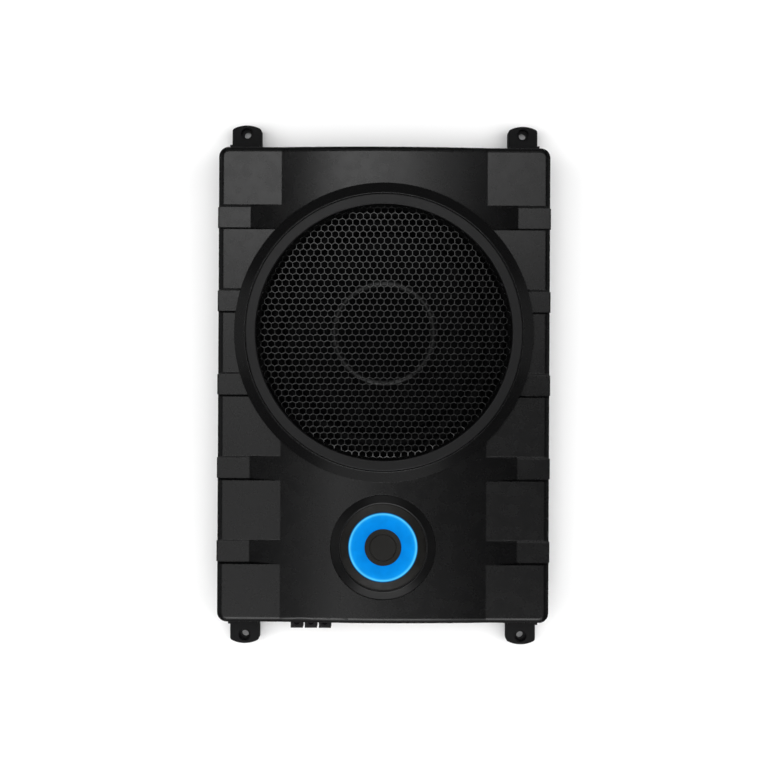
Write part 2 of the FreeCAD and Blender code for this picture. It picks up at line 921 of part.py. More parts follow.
def build_basket():
    sheet = s.basket_sheet
    floor = basket_floor_height
    step = spider_height - sheet
    points = [
        (s.magnet_bore, floor),
        (s.basket_floor_radius, floor),
        (s.basket_floor_radius, step),
        (s.basket_floor_radius + sheet * 2, step),
        (basket_shoulder, flange_base - sheet),
        (basket_shoulder, flange_base),
        (basket_radius, flange_base),
        (basket_radius, flange_top),
        (basket_opening, flange_top),
        (basket_opening, flange_base - sheet / 2),
        (s.basket_floor_radius + sheet, spider_height),
        (s.basket_floor_radius - sheet * 4, spider_height),
        (s.basket_floor_radius - sheet * 4, step),
        (s.basket_floor_radius - sheet, step),
        (s.basket_floor_radius - sheet, floor + sheet),
        (s.magnet_bore, floor + sheet),
    ]
    form = turned("basket_form", points, AT_SPEAKER)
    holes = basket_windows()
    for x, y, _ in on_circle(s.speaker_screw_count, screw_circle, screw_start):
        at = (x, y + speaker_y, flange_base)
        holes.append(cylinder("flange_hole", s.speaker_screw_radius, s.flange_thickness, at))
    node("speaker_basket", cut("speaker_basket", form, holes))

    ring = tube("seal_form", cutout_radius, basket_radius, ledge_height, flange_base, AT_SPEAKER)
    holes = []
    screws = []
    for x, y, _ in on_circle(s.speaker_screw_count, screw_circle, screw_start):
        at = (x, y + speaker_y, ledge_height)
        holes.append(cylinder("seal_hole", s.speaker_screw_radius, s.speaker_gasket, at))
        head_top = flange_top + s.speaker_screw_head_height
        points = [
            (0, flange_top - s.speaker_screw_length),
            (s.speaker_screw_radius, flange_top - s.speaker_screw_length),
            (s.speaker_screw_radius, flange_top),
            (s.speaker_screw_head, flange_top),
            (s.speaker_screw_head - s.speaker_screw_head_height / 2, head_top),
            (0, head_top),
        ]
        screws.append(turned("speaker_screw", points, (x, y + speaker_y, 0)))
    node("speaker_gasket", cut("speaker_gasket", ring, holes))
    node("speaker_screws", group("speaker_screws", screws))


def build_motor():
    node("top_plate", tube("top_plate", s.gap_outer, s.top_plate_radius, top_plate_base,
                           basket_floor_height, AT_SPEAKER))
    node("ring_magnet", tube("ring_magnet", s.magnet_bore + s.boot_thickness, s.magnet_radius,
                             magnet_base, top_plate_base, AT_SPEAKER))
    pole = [
        (0, pole_base),
        (s.top_plate_radius, pole_base),
        (s.top_plate_radius, magnet_base),
        (s.pole_radius, magnet_base),
        (s.pole_radius, basket_floor_height),
        (0, basket_floor_height),
    ]
    node("pole_plate", turned("pole_plate", pole, AT_SPEAKER))
    node("magnet_boot", tube("magnet_boot", s.magnet_radius, s.magnet_radius + s.boot_thickness,
                             magnet_base, top_plate_base, AT_SPEAKER))


def build_moving_assembly():
    coil_low = basket_floor_height - s.top_plate_thickness / 2 - s.coil_height / 2
    former_low = coil_low - s.former_thickness * 2
    former_top = former_low + s.former_length
    node("voice_coil_former", tube("voice_coil_former", s.coil_radius, former_outer,
                                   former_low, former_top, AT_SPEAKER))
    node("voice_coil", tube("voice_coil", former_outer, former_outer + s.coil_thickness,
                            coil_low, coil_low + s.coil_height, AT_SPEAKER))

    t = s.cone_thickness
    lip = surround_roll - cone_radius
    cone = [
        (former_outer, cone_neck_height - t),
        (former_outer + t, cone_neck_height - t),
        (cone_radius, cone_edge_height - t),
        (cone_radius + lip / 8, cone_edge_height - t),
        (cone_radius + lip / 8, cone_edge_height),
        (cone_radius, cone_edge_height),
        (former_outer, cone_neck_height),
    ]
    node("speaker_cone", turned("speaker_cone", cone, AT_SPEAKER))

    slope = (cone_edge_height - cone_neck_height) / (cone_radius - former_outer)
    outer_seat = cone_neck_height + slope * (s.cap_radius - former_outer) + s.soft_gap
    inner_seat = cone_neck_height + slope * (s.cap_inner - former_outer) + s.soft_gap
    ring_top = outer_seat + s.cap_ring_height
    dome = s.cap_inner / 2
    cap = [
        (0, inner_seat + s.cap_rise - t),
        (dome, inner_seat + s.cap_rise * 0.75 - t),
        (s.cap_inner, inner_seat),
        (s.cap_radius, outer_seat),
        (s.cap_radius, ring_top - t),
        (s.cap_radius - t, ring_top),
        (s.cap_inner + t, ring_top),
        (s.cap_inner, inner_seat + t),
        (dome, inner_seat + s.cap_rise * 0.75),
        (0, inner_seat + s.cap_rise),
    ]
    node("dust_cap", turned("dust_cap", cap, AT_SPEAKER))


def build_suspension():
    thick = s.surround_thickness
    low = flange_top + s.soft_gap
    lip_low = cone_edge_height + s.soft_gap
    inner = cone_radius + s.soft_gap
    middle = (inner + surround_roll) / 2
    quarter = (surround_roll - inner) / 4
    top = low + s.surround_height
    points = [
        (inner - quarter / 2, lip_low),
        (inner + quarter / 2, lip_low),
        (middle - quarter, low + s.surround_height * 0.75 - thick),
        (middle, top - thick),
        (middle + quarter, low + s.surround_height * 0.75 - thick),
        (surround_roll - quarter / 4, low),
        (surround_lip, low),
        (surround_lip, low + thick),
        (surround_roll, low + thick),
        (middle + quarter, low + s.surround_height * 0.75),
        (middle, top),
        (middle - quarter, low + s.surround_height * 0.75),
        (inner, lip_low + thick),
        (inner - quarter / 2, lip_low + thick),
    ]
    node("cone_surround", turned("cone_surround", points, AT_SPEAKER))

    inside = former_outer + s.soft_gap
    base = spider_height + s.soft_gap
    waves = 4
    pitch = (s.spider_radius - inside) / (2 * waves + 1)
    lower = [(inside, base)]
    for index in range(2 * waves):
        lift = s.spider_wave if index % 2 else 0
        lower.append((inside + pitch * (index + 1), base + lift))
    lower.append((s.spider_radius, base))
    upper = [(r, z + s.spider_thickness) for r, z in reversed(lower)]
    node("spider", turned("spider", lower + upper, AT_SPEAKER))


def build_speaker_terminals():
    """The driver's terminal board with its two lugs; returns where the leads end."""
    boot = s.magnet_radius + s.boot_thickness
    middle = speaker_y - (boot + s.basket_floor_radius) / 2
    low = basket_floor_height - s.terminal_board_height
    size = (s.terminal_board_width, s.terminal_board_depth, s.terminal_board_height)
    pieces = [block("terminal_board", size, (0, middle, low))]
    face = middle - s.terminal_board_depth / 2
    lug = (s.lug_side, s.lug_thickness, s.lug_side)
    lug_low = low + (s.terminal_board_height - s.lug_side) / 2
    for side in BOTH_SIDES:
        at = (s.terminal_lug_spacing / 2 * side, face - s.lug_thickness / 2, lug_low)
        pieces.append(block("terminal_lug", lug, at))
    node("speaker_terminals", fused("speaker_terminals", pieces))
    return face - s.lug_thickness


# ---------------------------------------------------------------- badge

def build_badge():
    seat = arch_top - s.badge_sink
    edge = seat + s.badge_edge
    top = seat + s.badge_height
    skirt_outer = s.badge_hole - s.fit_gap
    skirt_inner = skirt_outer - s.skirt_thickness
    lens_base = seat
    shelf = lens_base + s.lens_thickness / 2
    shelf_low = lens_base - s.lens_ledge
    pocket = s.lens_radius + s.fit_gap / 2
    bezel = [
        (s.badge_radius, seat),
        (s.badge_radius, edge),
        (s.badge_step + s.badge_rim, top),
        (s.badge_step, top),
        (s.badge_step, shelf),
        (pocket, shelf),
        (pocket, lens_base),
        (s.lens_radius - s.lens_ledge, lens_base),
        (s.lens_radius - s.lens_ledge, shelf_low),
        (skirt_inner, shelf_low),
        (skirt_inner, seat - s.skirt_depth),
        (skirt_outer, seat - s.skirt_depth),
        (skirt_outer, seat),
    ]
    node("badge_bezel", turned("badge_bezel", bezel, AT_BADGE))
    lens_top = lens_base + s.lens_thickness
    ring_points = [
        (pocket, shelf),
        (s.badge_step - s.fit_gap / 2, shelf),
        (s.badge_step - s.fit_gap / 2, lens_top),
        (pocket, lens_top),
    ]
    node("badge_ring", turned("badge_ring", ring_points, AT_BADGE))
    node("badge_lens", cylinder("badge_lens", s.lens_radius, s.lens_thickness, (0, badge_y, lens_base)))
    round_edge = s.emblem_thickness / 2
    emblem = [
        (0, lens_top),
        (s.emblem_radius, lens_top),
        (s.emblem_radius, lens_top + round_edge),
        (s.emblem_radius - round_edge, lens_top + s.emblem_thickness),
        (0, lens_top + s.emblem_thickness),
    ]
    node("badge_emblem", turned("badge_emblem", emblem, AT_BADGE))

    board_low = seat - s.skirt_depth + s.fit_gap
    board_radius = skirt_inner - s.fit_gap / 2
    led_base = board_low + s.board_thickness / 2
    node("badge_led_board", cylinder("badge_led_board", board_radius, s.board_thickness / 2,
                                     (0, badge_y, board_low)))
    leds = []
    for x, y, _ in on_circle(s.led_count, s.led_circle):
        leds.append(block("badge_led", (s.led_side, s.led_side, s.led_height), (x, y + badge_y, led_base)))
    node("badge_leds", group("badge_leds", leds))


# ---------------------------------------------------------------- control panel

def knob_places():
    """The three rotary controls: name and X."""
    names = ("gain_knob", "crossover_knob", "boost_knob")
    return [(name, s.first_knob_x + s.knob_pitch * step) for step, name in enumerate(names)]


def jack_places():
    return [s.jack_x, s.jack_x + s.jack_pitch]


def lamp_places():
    return [s.control_row - s.led_lamp_pitch / 2, s.control_row + s.led_lamp_pitch / 2]


def socket_specs():
    """The two plug sockets: name, X, width, height and pins in a row."""
    return [
        ("high_level_socket", s.high_level_x, s.high_level_width, s.high_level_height, 4),
        ("remote_socket", s.remote_x, s.remote_width, s.remote_height, 3),
    ]


def through(name, width, height, x, middle_z):
    """A rectangular hole through the panel."""
    size = (width, s.panel_thickness * 3, height)
    return block(name, size, (x, (panel_front + panel_back) / 2, middle_z - height / 2))


def round_through(name, radius, x, z):
    """A round hole through the panel."""
    return cylinder(name, radius, s.panel_thickness * 3, (x, panel_back + s.panel_thickness, z), FACE_FRONT)


def build_panel():
    width = s.window_width + 2 * s.panel_overlap_side
    low = s.window_bottom - s.panel_overlap_bottom
    height = s.window_height + s.panel_overlap_bottom + s.panel_overlap_top
    sheet = block("panel_sheet", (width, s.panel_thickness, height), (0, (panel_front + panel_back) / 2, low))
    gap = s.fit_gap
    holes = [round_through("knob_hole", s.bushing_radius + gap, x, s.control_row) for _, x in knob_places()]
    holes += [round_through("jack_hole", s.jack_radius + gap, x, s.socket_row) for x in jack_places()]
    holes += [round_through("lamp_hole", s.led_lamp_radius + gap, s.led_lamp_x, z) for z in lamp_places()]
    holes += [round_through("screw_hole", s.board_screw_radius, x, z) for x, z in panel_screw_places()]
    for name, x, socket_width, socket_height, _ in socket_specs():
        width, height = socket_width + 2 * gap, socket_height + 2 * gap
        holes.append(through(name + "_hole", width, height, x, s.socket_row))
    slot = s.slider_length + s.slider_travel + 2 * gap
    holes.append(through("slider_slot", slot, s.slider_width + 2 * gap, s.switch_x, s.control_row))
    block_width = s.terminal_pitch * 2 + s.terminal_hood_width
    middle = s.terminal_bottom + s.terminal_height / 2
    holes.append(through("terminal_hole", block_width + 2 * gap, s.terminal_height + 2 * gap,
                         -s.terminal_x, middle))
    holes.append(through("fuse_hole", s.fuse_holder_width + 2 * gap, s.terminal_height + 2 * gap,
                         -s.fuse_x, middle))
    node("control_panel", cut("control_panel", sheet, holes))

    screws = []
    for x, z in panel_screw_places():
        head = s.board_screw_head_height
        points = [
            (0, 0),
            (s.board_screw_head, 0),
            (s.board_screw_head, head),
            (s.board_screw_radius, head),
            (s.board_screw_radius, head + s.board_screw_length),
            (0, head + s.board_screw_length),
        ]
        screws.append(turned("panel_screw", points, (x, panel_back + head, z), FACE_FRONT))
    node("control_panel_screws", group("control_panel_screws", screws))


def build_knobs():
    pots = []
    for name, x in knob_places():
        gap = s.knob_gap
        points = [
            (0, -s.stem_length),
            (s.stem_radius, -s.stem_length),
            (s.stem_radius, gap),
            (s.knob_radius, gap),
            (s.knob_radius, s.knob_length - gap),
            (s.knob_radius - gap, s.knob_length),
            (0, s.knob_length),
        ]
        form = turned(name + "_form", points, (x, panel_front, s.control_row), FACE_FRONT)
        mark = block(name + "_mark", (s.knob_mark_width, s.knob_mark_width * 2, s.knob_radius),
                     (x, panel_front - s.knob_length, s.control_row))
        node(name, cut(name, form, [mark]))

        side = s.pot_side
        body = block("pot_body", (side, s.pot_depth, side),
                     (x, panel_back + s.pot_depth / 2, s.control_row - side / 2))
        bushing = cylinder("pot_bushing", s.bushing_radius, s.panel_thickness,
                           (x, panel_back, s.control_row), FACE_FRONT)
        bore = cylinder("pot_bore", s.stem_radius + s.running_gap, s.pot_depth * 2 + s.stem_length,
                        (x, panel_front + s.stem_length + s.running_gap, s.control_row), FACE_FRONT)
        pots.append(cut("potentiometer", fused("pot_form", [body, bushing]), [bore]))
    node("potentiometers", group("potentiometers", pots))


def build_phase_switch():
    rest = s.switch_x - s.slider_travel / 2
    inside = s.panel_thickness + s.slider_width
    size = (s.slider_length, s.slider_reach + inside, s.slider_width)
    at = (rest, panel_front - s.slider_reach + size[1] / 2, s.control_row - s.slider_width / 2)
    node("phase_slider", block("phase_slider", size, at))
    body_size = (s.switch_length + s.socket_wall * 2, s.pot_depth, s.slider_width + s.socket_wall * 4)
    body_at = (s.switch_x, panel_back + s.pot_depth / 2, s.control_row - body_size[2] / 2)
    body = block("switch_form", body_size, body_at)
    slot_width = s.slider_length + s.slider_travel + 2 * s.fit_gap
    slot_size = (slot_width, s.pot_depth, s.slider_width + 2 * s.fit_gap)
    slot_at = (s.switch_x, panel_back + s.fit_gap + s.slider_width - s.pot_depth / 2,
               s.control_row - slot_size[2] / 2)
    node("phase_switch_body", cut("phase_switch_body", body, [block("switch_slot", slot_size, slot_at)]))


def build_lamps():
    lamps = []
    for z in lamp_places():
        r = s.led_lamp_radius
        points = [
            (0, -s.pot_depth),
            (r, -s.pot_depth),
            (r, s.panel_thickness),
            (r / 2, s.panel_thickness + r * 0.8),
            (0, s.panel_thickness + r),
        ]
        lamps.append(turned("lamp", points, (s.led_lamp_x, panel_back, z), FACE_FRONT))
    node("indicator_lamps", group("indicator_lamps", lamps))


def build_jacks():
    jacks = []
    for x in jack_places():
        height = s.socket_row + s.jack_body_width / 2 - board_top
        body = block("jack_body", (s.jack_body_width, s.jack_body_depth, height),
                     (x, panel_back + s.jack_body_depth / 2, board_top))
        at = (x, panel_back, s.socket_row)
        reach = s.jack_length + s.panel_thickness
        shell = tube("jack_shell", s.jack_radius - s.jack_wall, s.jack_radius, 0, reach, at, FACE_FRONT)
        contact = tube("jack_contact", s.contact_radius, s.contact_radius + s.contact_wall, 0,
                       reach - s.jack_wall, at, FACE_FRONT)
        jacks.append(fused("jack", [body, shell, contact]))
    node("rca_jacks", group("rca_jacks", jacks))


def build_sockets():
    for name, x, width, height, pins in socket_specs():
        depth = s.socket_depth + s.socket_wall
        front = panel_front - s.socket_proud
        shell = block(name + "_shell", (width, depth, height),
                      (x, front + depth / 2, s.socket_row - height / 2))
        hollow = (width - 2 * s.socket_wall, s.socket_depth * 2, height - 2 * s.socket_wall)
        well = block(name + "_well", hollow, (x, front, s.socket_row - hollow[2] / 2))
        body = cut(name + "_body", shell, [well])
        pieces = [body]
        foot_height = s.socket_row - height / 2 - board_top
        foot_depth = depth - s.socket_proud - s.panel_thickness - s.board_inset
        foot = (width - 2 * s.socket_wall, foot_depth, foot_height)
        foot_at = (x, front + depth - foot[1] / 2, board_top)
        pieces.append(block(name + "_foot", foot, foot_at))
        pitch = (width - 2 * s.socket_wall) / pins
        length = s.socket_depth / 2
        for index in range(pins):
            pin_x = x + pitch * (index - (pins - 1) / 2)
            at = (pin_x, front + s.socket_depth - length / 2, s.socket_row - s.pin_side / 2)
            pieces.append(block(name + "_pin", (s.pin_side, length, s.pin_side), at))
        node(name, fused(name, pieces))


def hood_places():
    return [-s.terminal_x + s.terminal_pitch * step for step in (-1, 0, 1)]


def build_power_terminal():
    front = -half_length - s.terminal_proud
    hood_back = front + s.terminal_hood_length
    low, height = s.terminal_bottom, s.terminal_height
    width = s.terminal_pitch * 2 + s.terminal_hood_width
    depth = s.terminal_body_depth
    pieces = [block("terminal_body", (width, depth, height), (-s.terminal_x, hood_back + depth / 2, low))]
    cuts = []
    screws = []
    foot_height = low - board_top
    back = hood_back + depth
    foot_depth = back - board_front
    pieces.append(block("terminal_foot", (width, foot_depth, foot_height),
                        (-s.terminal_x, back - foot_depth / 2, board_top)))
    for x in hood_places():
        size = (s.terminal_hood_width, s.terminal_hood_length, height)
        pieces.append(block("terminal_hood", size, (x, front + size[1] / 2, low)))
        entry = s.terminal_entry
        entry_size = (entry, s.terminal_hood_length * 2, entry)
        cuts.append(block("wire_entry", entry_size, (x, front, low + entry / 2)))
        screw_y = front + s.terminal_hood_length / 2
        head_low = low + height - s.terminal_screw_length
        cuts.append(cylinder("screw_well", s.terminal_screw_radius + s.fit_gap, height,
                             (x, screw_y, head_low - s.fit_gap)))
        screws.append(cylinder("terminal_screw", s.terminal_screw_radius, s.terminal_screw_length - s.fit_gap,
                               (x, screw_y, head_low - s.fit_gap)))
    node("power_terminal_block", cut("power_terminal_block", fused("terminal_form", pieces), cuts))
    slots = []
    for x in hood_places():
        slot = (s.terminal_screw_radius * 2, s.knob_mark_width, s.knob_mark_width)
        slots.append(block("screw_slot", slot, (x, front + s.terminal_hood_length / 2,
                                                low + height - s.fit_gap * 2 - s.knob_mark_width)))
    node("terminal_screws", cut("terminal_screws", group("terminal_screw_blanks", screws), slots))


def build_fuses():
    front = panel_front - s.socket_proud
    low, height = s.terminal_bottom, s.terminal_height
    depth = s.fuse_blade_length + s.socket_proud + s.panel_thickness + s.socket_wall
    holder = block("holder_form", (s.fuse_holder_width, depth, height), (-s.fuse_x, front + depth / 2, low))
    foot_depth = front + depth - board_front
    foot = block("holder_foot", (s.fuse_holder_width, foot_depth, low - board_top),
                 (-s.fuse_x, front + depth - foot_depth / 2, board_top))
    cuts = []
    fuses = []
    for side in BOTH_SIDES:
        z = low + height / 2 + s.fuse_pitch / 2 * side
        gap = s.fit_gap
        seat = (s.fuse_width + 2 * gap, s.fuse_depth, s.fuse_thickness + 2 * gap)
        cuts.append(block("fuse_seat", seat, (-s.fuse_x, front, z - seat[2] / 2)))
        body_length = s.fuse_depth
        body = block("fuse_body", (s.fuse_width, body_length, s.fuse_thickness),
                     (-s.fuse_x, front + s.fuse_depth / 2 - body_length / 2, z - s.fuse_thickness / 2))
        pieces = [body]
        for end in BOTH_SIDES:
            x = -s.fuse_x + (s.fuse_width - s.fuse_blade_width) / 2 * end
            at_y = front + s.fuse_depth / 2 + s.fuse_blade_length / 2
            blade = (s.fuse_blade_width, s.fuse_blade_length, s.fuse_blade_thickness)
            pieces.append(block("fuse_blade", blade, (x, at_y, z - s.fuse_blade_thickness / 2)))
            well = (s.fuse_blade_width + gap, s.fuse_blade_length + gap, s.fuse_blade_thickness + gap)
            well_y = front + s.fuse_depth / 2 + well[1] / 2
            cuts.append(block("blade_well", well, (x, well_y, z - well[2] / 2)))
        fuses.append(fused("fuse", pieces))
    node("fuse_holder", cut("fuse_holder", fused("holder_body", [holder, foot]), cuts))
    node("fuses", group("fuses", fuses))


# ---------------------------------------------------------------- amplifier

def build_board():
    middle = (board_front + board_back) / 2
    board_size = (s.board_width, s.board_length, s.board_thickness)
    sheet = block("board_form", board_size, (0, middle, s.board_height))
    holes, posts, screws = [], [], []
    for x, y in board_posts():
        holes.append(cylinder("board_hole", s.board_screw_radius, s.board_thickness, (x, y, s.board_height)))
        points = [
            (s.board_screw_radius, 0),
            (s.post_foot_radius, 0),
            (s.post_foot_radius, s.plate_thickness),
            (s.post_radius, s.plate_thickness),
            (s.post_radius, s.board_height),
            (s.board_screw_radius, s.board_height),
        ]
        posts.append(turned("standoff", points, (x, y, 0)))
        low = board_top - s.board_screw_length
        points = [
            (0, low),
            (s.board_screw_radius, low),
            (s.board_screw_radius, board_top),
            (s.board_screw_head, board_top),
            (s.board_screw_head, board_top + s.board_screw_head_height),
            (0, board_top + s.board_screw_head_height),
        ]
        screws.append(turned("board_screw", points, (x, y, 0)))
    node("amplifier_board", cut("amplifier_board", sheet, holes))
    node("board_standoffs", group("board_standoffs", posts))
    node("board_screws", group("board_screws", screws))


def build_heat_sink():
    y = board_back - s.sink_inset
    wall_size = (s.sink_width, s.sink_wall, s.sink_height)
    pieces = [block("sink_wall", wall_size, (0, y - s.sink_wall / 2, board_top))]
    count = int(s.sink_fin_count.number)
    pitch = (s.sink_width - s.sink_fin_thickness) / (count - 1)
    for index in range(count):
        x = pitch * (index - (count - 1) / 2)
        size = (s.sink_fin_thickness, s.sink_fin_depth, s.sink_height)
        pieces.append(block("sink_fin", size, (x, y + s.sink_fin_depth / 2, board_top)))
    node("heat_sink", fused("heat_sink", pieces))

    face = y - s.sink_wall
    bodies, clips = [], []
    count = int(s.transistor_count.number)
    for index in range(count):
        x = s.transistor_pitch * (index - (count - 1) / 2)
        low = board_top + s.transistor_lift
        size = (s.transistor_width, s.transistor_thickness, s.transistor_height)
        middle = face - s.transistor_thickness / 2
        pieces = [block("transistor_body", size, (x, middle, low))]
        for step in (-1, 0, 1):
            lead = (s.lead_side, s.lead_side, s.transistor_lift)
            pieces.append(block("transistor_lead", lead, (x + s.lead_pitch * step, middle, board_top)))
        bodies.append(fused("transistor", pieces))
        bar = s.clip_bar
        front = block("clip_front", (s.transistor_width / 2, bar, s.transistor_height),
                      (x, face - s.transistor_thickness - bar / 2, low + s.transistor_height / 3))
        top_z = board_top + s.sink_height
        clip_top = low + s.transistor_height * 4 / 3
        riser = block("clip_riser", (s.transistor_width / 2, bar, top_z - clip_top + bar),
                      (x, face - s.transistor_thickness - bar / 2, clip_top))
        reach = s.transistor_thickness + bar + s.sink_wall / 2
        over = block("clip_over", (s.transistor_width / 2, reach, bar),
                     (x, face - s.transistor_thickness - bar + reach / 2, top_z))
        clips.append(fused("transistor_clip", [front, riser, over]))
    node("power_transistors", group("power_transistors", bodies))
    node("transistor_clips", group("transistor_clips", clips))


def build_board_parts():
    row = board_front + s.toroid_y
    wrap = s.winding_thickness
    low = board_top + wrap
    high = low + s.toroid_height
    at = (-s.toroid_x, row, 0)
    node("toroid_core", tube("toroid_core", s.toroid_bore, s.toroid_radius, low, high, at))
    points = [
        (s.toroid_bore - wrap, low - wrap),
        (s.toroid_radius + wrap, low - wrap),
        (s.toroid_radius + wrap, high + wrap),
        (s.toroid_bore - wrap, high + wrap),
    ]
    wound = turned("winding_form", points, at, angle=s.winding_angle)
    core_space = tube("core_space", s.toroid_bore, s.toroid_radius, low, high, at)
    node("toroid_winding", cut("toroid_winding", wound, [core_space]))

    cans = []
    r, groove = s.capacitor_radius, s.capacitor_groove
    base, top = board_top, board_top + s.capacitor_height
    neck = base + groove * 5
    for index in range(2):
        for line in range(2):
            points = [
                (0, base),
                (r, base),
                (r, neck - groove),
                (r - groove, neck),
                (r, neck + groove),
                (r, top - groove),
                (r - groove, top),
                (0, top),
            ]
            place_of = (s.capacitor_x + s.capacitor_pitch * index, row + s.capacitor_pitch * (line - 0.5), 0)
            cans.append(turned("capacitor", points, place_of))
    node("filter_capacitors", group("filter_capacitors", cans))

    t = s.choke_flange
    top = board_top + s.choke_height
    spool = [
        (0, board_top),
        (s.choke_radius, board_top),
        (s.choke_radius, board_top + t),
        (s.choke_core, board_top + t),
        (s.choke_core, top - t),
        (s.choke_radius, top - t),
        (s.choke_radius, top),
        (0, top),
    ]
    choke_x = s.capacitor_x + s.capacitor_pitch * 2 + s.choke_radius
    node("filter_choke", turned("filter_choke", spool, (choke_x, row, 0)))


# ---------------------------------------------------------------- wiring

def rounded_path(points):
    """Straight runs joined by tangent arcs, as large as each pair of runs allows."""
    edges = []
    start = points[0]
    for before, corner, after in zip(points, points[1:], points[2:]):
        back = before - corner
        forward = after - corner
        turn = math.pi - back.getAngle(forward)
        setback = 0.45 * min(back.Length, forward.Length)
        back.normalize()
        forward.normalize()
        first = corner + back * setback
        last = corner + forward * setback
        inward = back + forward
        inward.normalize()
        radius = setback / math.tan(turn / 2)
        crown = radius / math.cos(turn / 2) - radius
        edges.append(Part.LineSegment(start, first).toShape())
        edges.append(Part.Arc(first, corner + inward * crown, last).toShape())
        start = last
    edges.append(Part.LineSegment(start, points[-1]).toShape())
    return Part.Wire(edges)


def lead_route(side, terminal_face):
    """One speaker lead's corners, from the board past the heat sink to the driver's terminals."""
    x0 = s.lead_x.number + s.lead_gap.number * side / 2
    x1 = s.terminal_lug_spacing.number / 2 * side
    height = basket_floor_height.number - s.terminal_board_height.number / 2
    floor = board_top.number
    leave = board_back.number - s.lead_start.number
    face = terminal_face.number
    rise = height - floor
    return [
        Vector(x0, leave, floor),
        Vector(x0, leave, height),
        Vector(x0, leave + rise * 1.6, height),
        Vector(x0 * 0.75, face - rise * 1.7, height),
        Vector(x1 + (x0 - x1) * 0.3, face - rise * 1.7, height),
        Vector(x1, face - rise, height),
        Vector(x1, face, height),
    ]


def build_leads(terminal_face):
    leads = []
    for side in BOTH_SIDES:
        path = rounded_path(lead_route(side, terminal_face))
        first = path.Edges[0]
        radius = s.lead_radius.number
        ring = Part.Circle(first.valueAt(first.FirstParameter), first.tangentAt(first.FirstParameter), radius)
        section = Part.Wire([ring.toShape()])
        leads.append(path.makePipeShell([section], True, False))
    thing = doc.addObject("Part::Feature", "speaker_leads")
    thing.Shape = Part.makeCompound(leads)
    thing.Placement = Placement()
    node("speaker_leads", thing)


# ---------------------------------------------------------------- mounting feet

def build_feet():
    for name, x, end in bracket_places():
        width, reach = s.bracket_width, s.bracket_reach
        half = width / 2
        near = half_length
        far = half_length + reach
        shoulder = far - s.bracket_end_rise
        points = [(-half, near), (half, near), (half, shoulder), (-half, shoulder)]
        end_arc = (s.bracket_end_rise, arc_radius(half, s.bracket_end_rise))
        foot = prism(name + "_foot", "XY_Plane", points, s.bracket_height, middle=False, arcs={2: end_arc})
        rounded(foot, name + "_corners", s.bracket_round,
                lambda edge: upright_at(edge, half.number, shoulder.number))
        upright = block(name + "_plate", (width, s.bracket_plate, s.bracket_plate_height),
                        (0, near + s.bracket_plate / 2, 0))
        hole_y = far - s.bracket_hole_inset
        bore_base = s.bracket_height - s.bracket_bore_depth
        cuts = [
            cylinder(name + "_hole", s.bracket_hole_radius, s.bracket_height, (0, hole_y, 0)),
            cylinder(name + "_bore", s.bracket_bore_radius, s.bracket_bore_depth, (0, hole_y, bore_base)),
        ]
        for step in range(2):
            z = s.bracket_screw_low + s.bracket_screw_pitch * step
            head = s.bracket_screw_head - s.bracket_screw_radius
            points = [
                (0, 0),
                (s.bracket_screw_radius, 0),
                (s.bracket_screw_radius, s.bracket_plate - head),
                (s.bracket_screw_head, s.bracket_plate),
                (0, s.bracket_plate),
            ]
            cuts.append(turned(name + "_screw_hole", points, (0, near, z), FACE_BACK))
        piece = cut(name, fused(name + "_form", [foot, upright]), cuts)
        turn = TURN_NONE if end > 0 else Rotation(Vector(0, 0, 1), 180)
        node(name, place(piece, (x, 0, 0), turn))

    screws = []
    for x, end, z in bracket_screw_places():
        head = s.bracket_screw_head - s.bracket_screw_radius
        points = [
            (0, 0),
            (s.bracket_screw_head, 0),
            (s.bracket_screw_radius, head),
            (s.bracket_screw_radius, s.bracket_screw_length),
            (0, s.bracket_screw_length),
        ]
        turn = FACE_FRONT if end > 0 else FACE_BACK
        screws.append(turned("foot_screw", points, (x, (half_length + s.bracket_plate) * end, z), turn))
    node("mounting_foot_screws", group("mounting_foot_screws", screws))


# ---------------------------------------------------------------- build, check and write

build_housing()
build_underside()
build_grille()
build_basket()
build_motor()
build_moving_assembly()
build_suspension()
lead_end = build_speaker_terminals()
build_badge()
build_panel()
build_knobs()
build_phase_switch()
build_lamps()
build_jacks()
build_sockets()
build_power_terminal()
build_fuses()
build_board()
build_heat_sink()
build_board_parts()
build_leads(lead_end)
build_feet()
doc.recompute()

for thing in doc.Objects:
    if "Invalid" in thing.State or "Error" in thing.State:
        raise RuntimeError(f"{thing.Name} ({thing.Label}) failed: {thing.State}")
for label, thing in nodes.items():
    if thing.Shape.isNull() or not thing.Shape.isValid() or not thing.Shape.Solids:
        raise RuntimeError(f"{label} has no valid solid")

os.makedirs("parts", exist_ok=True)
for label, thing in nodes.items():
    thing.Shape.exportStep(f"parts/{label}.step")
print(f"{len(nodes)} sub-parts written")
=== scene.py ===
import math

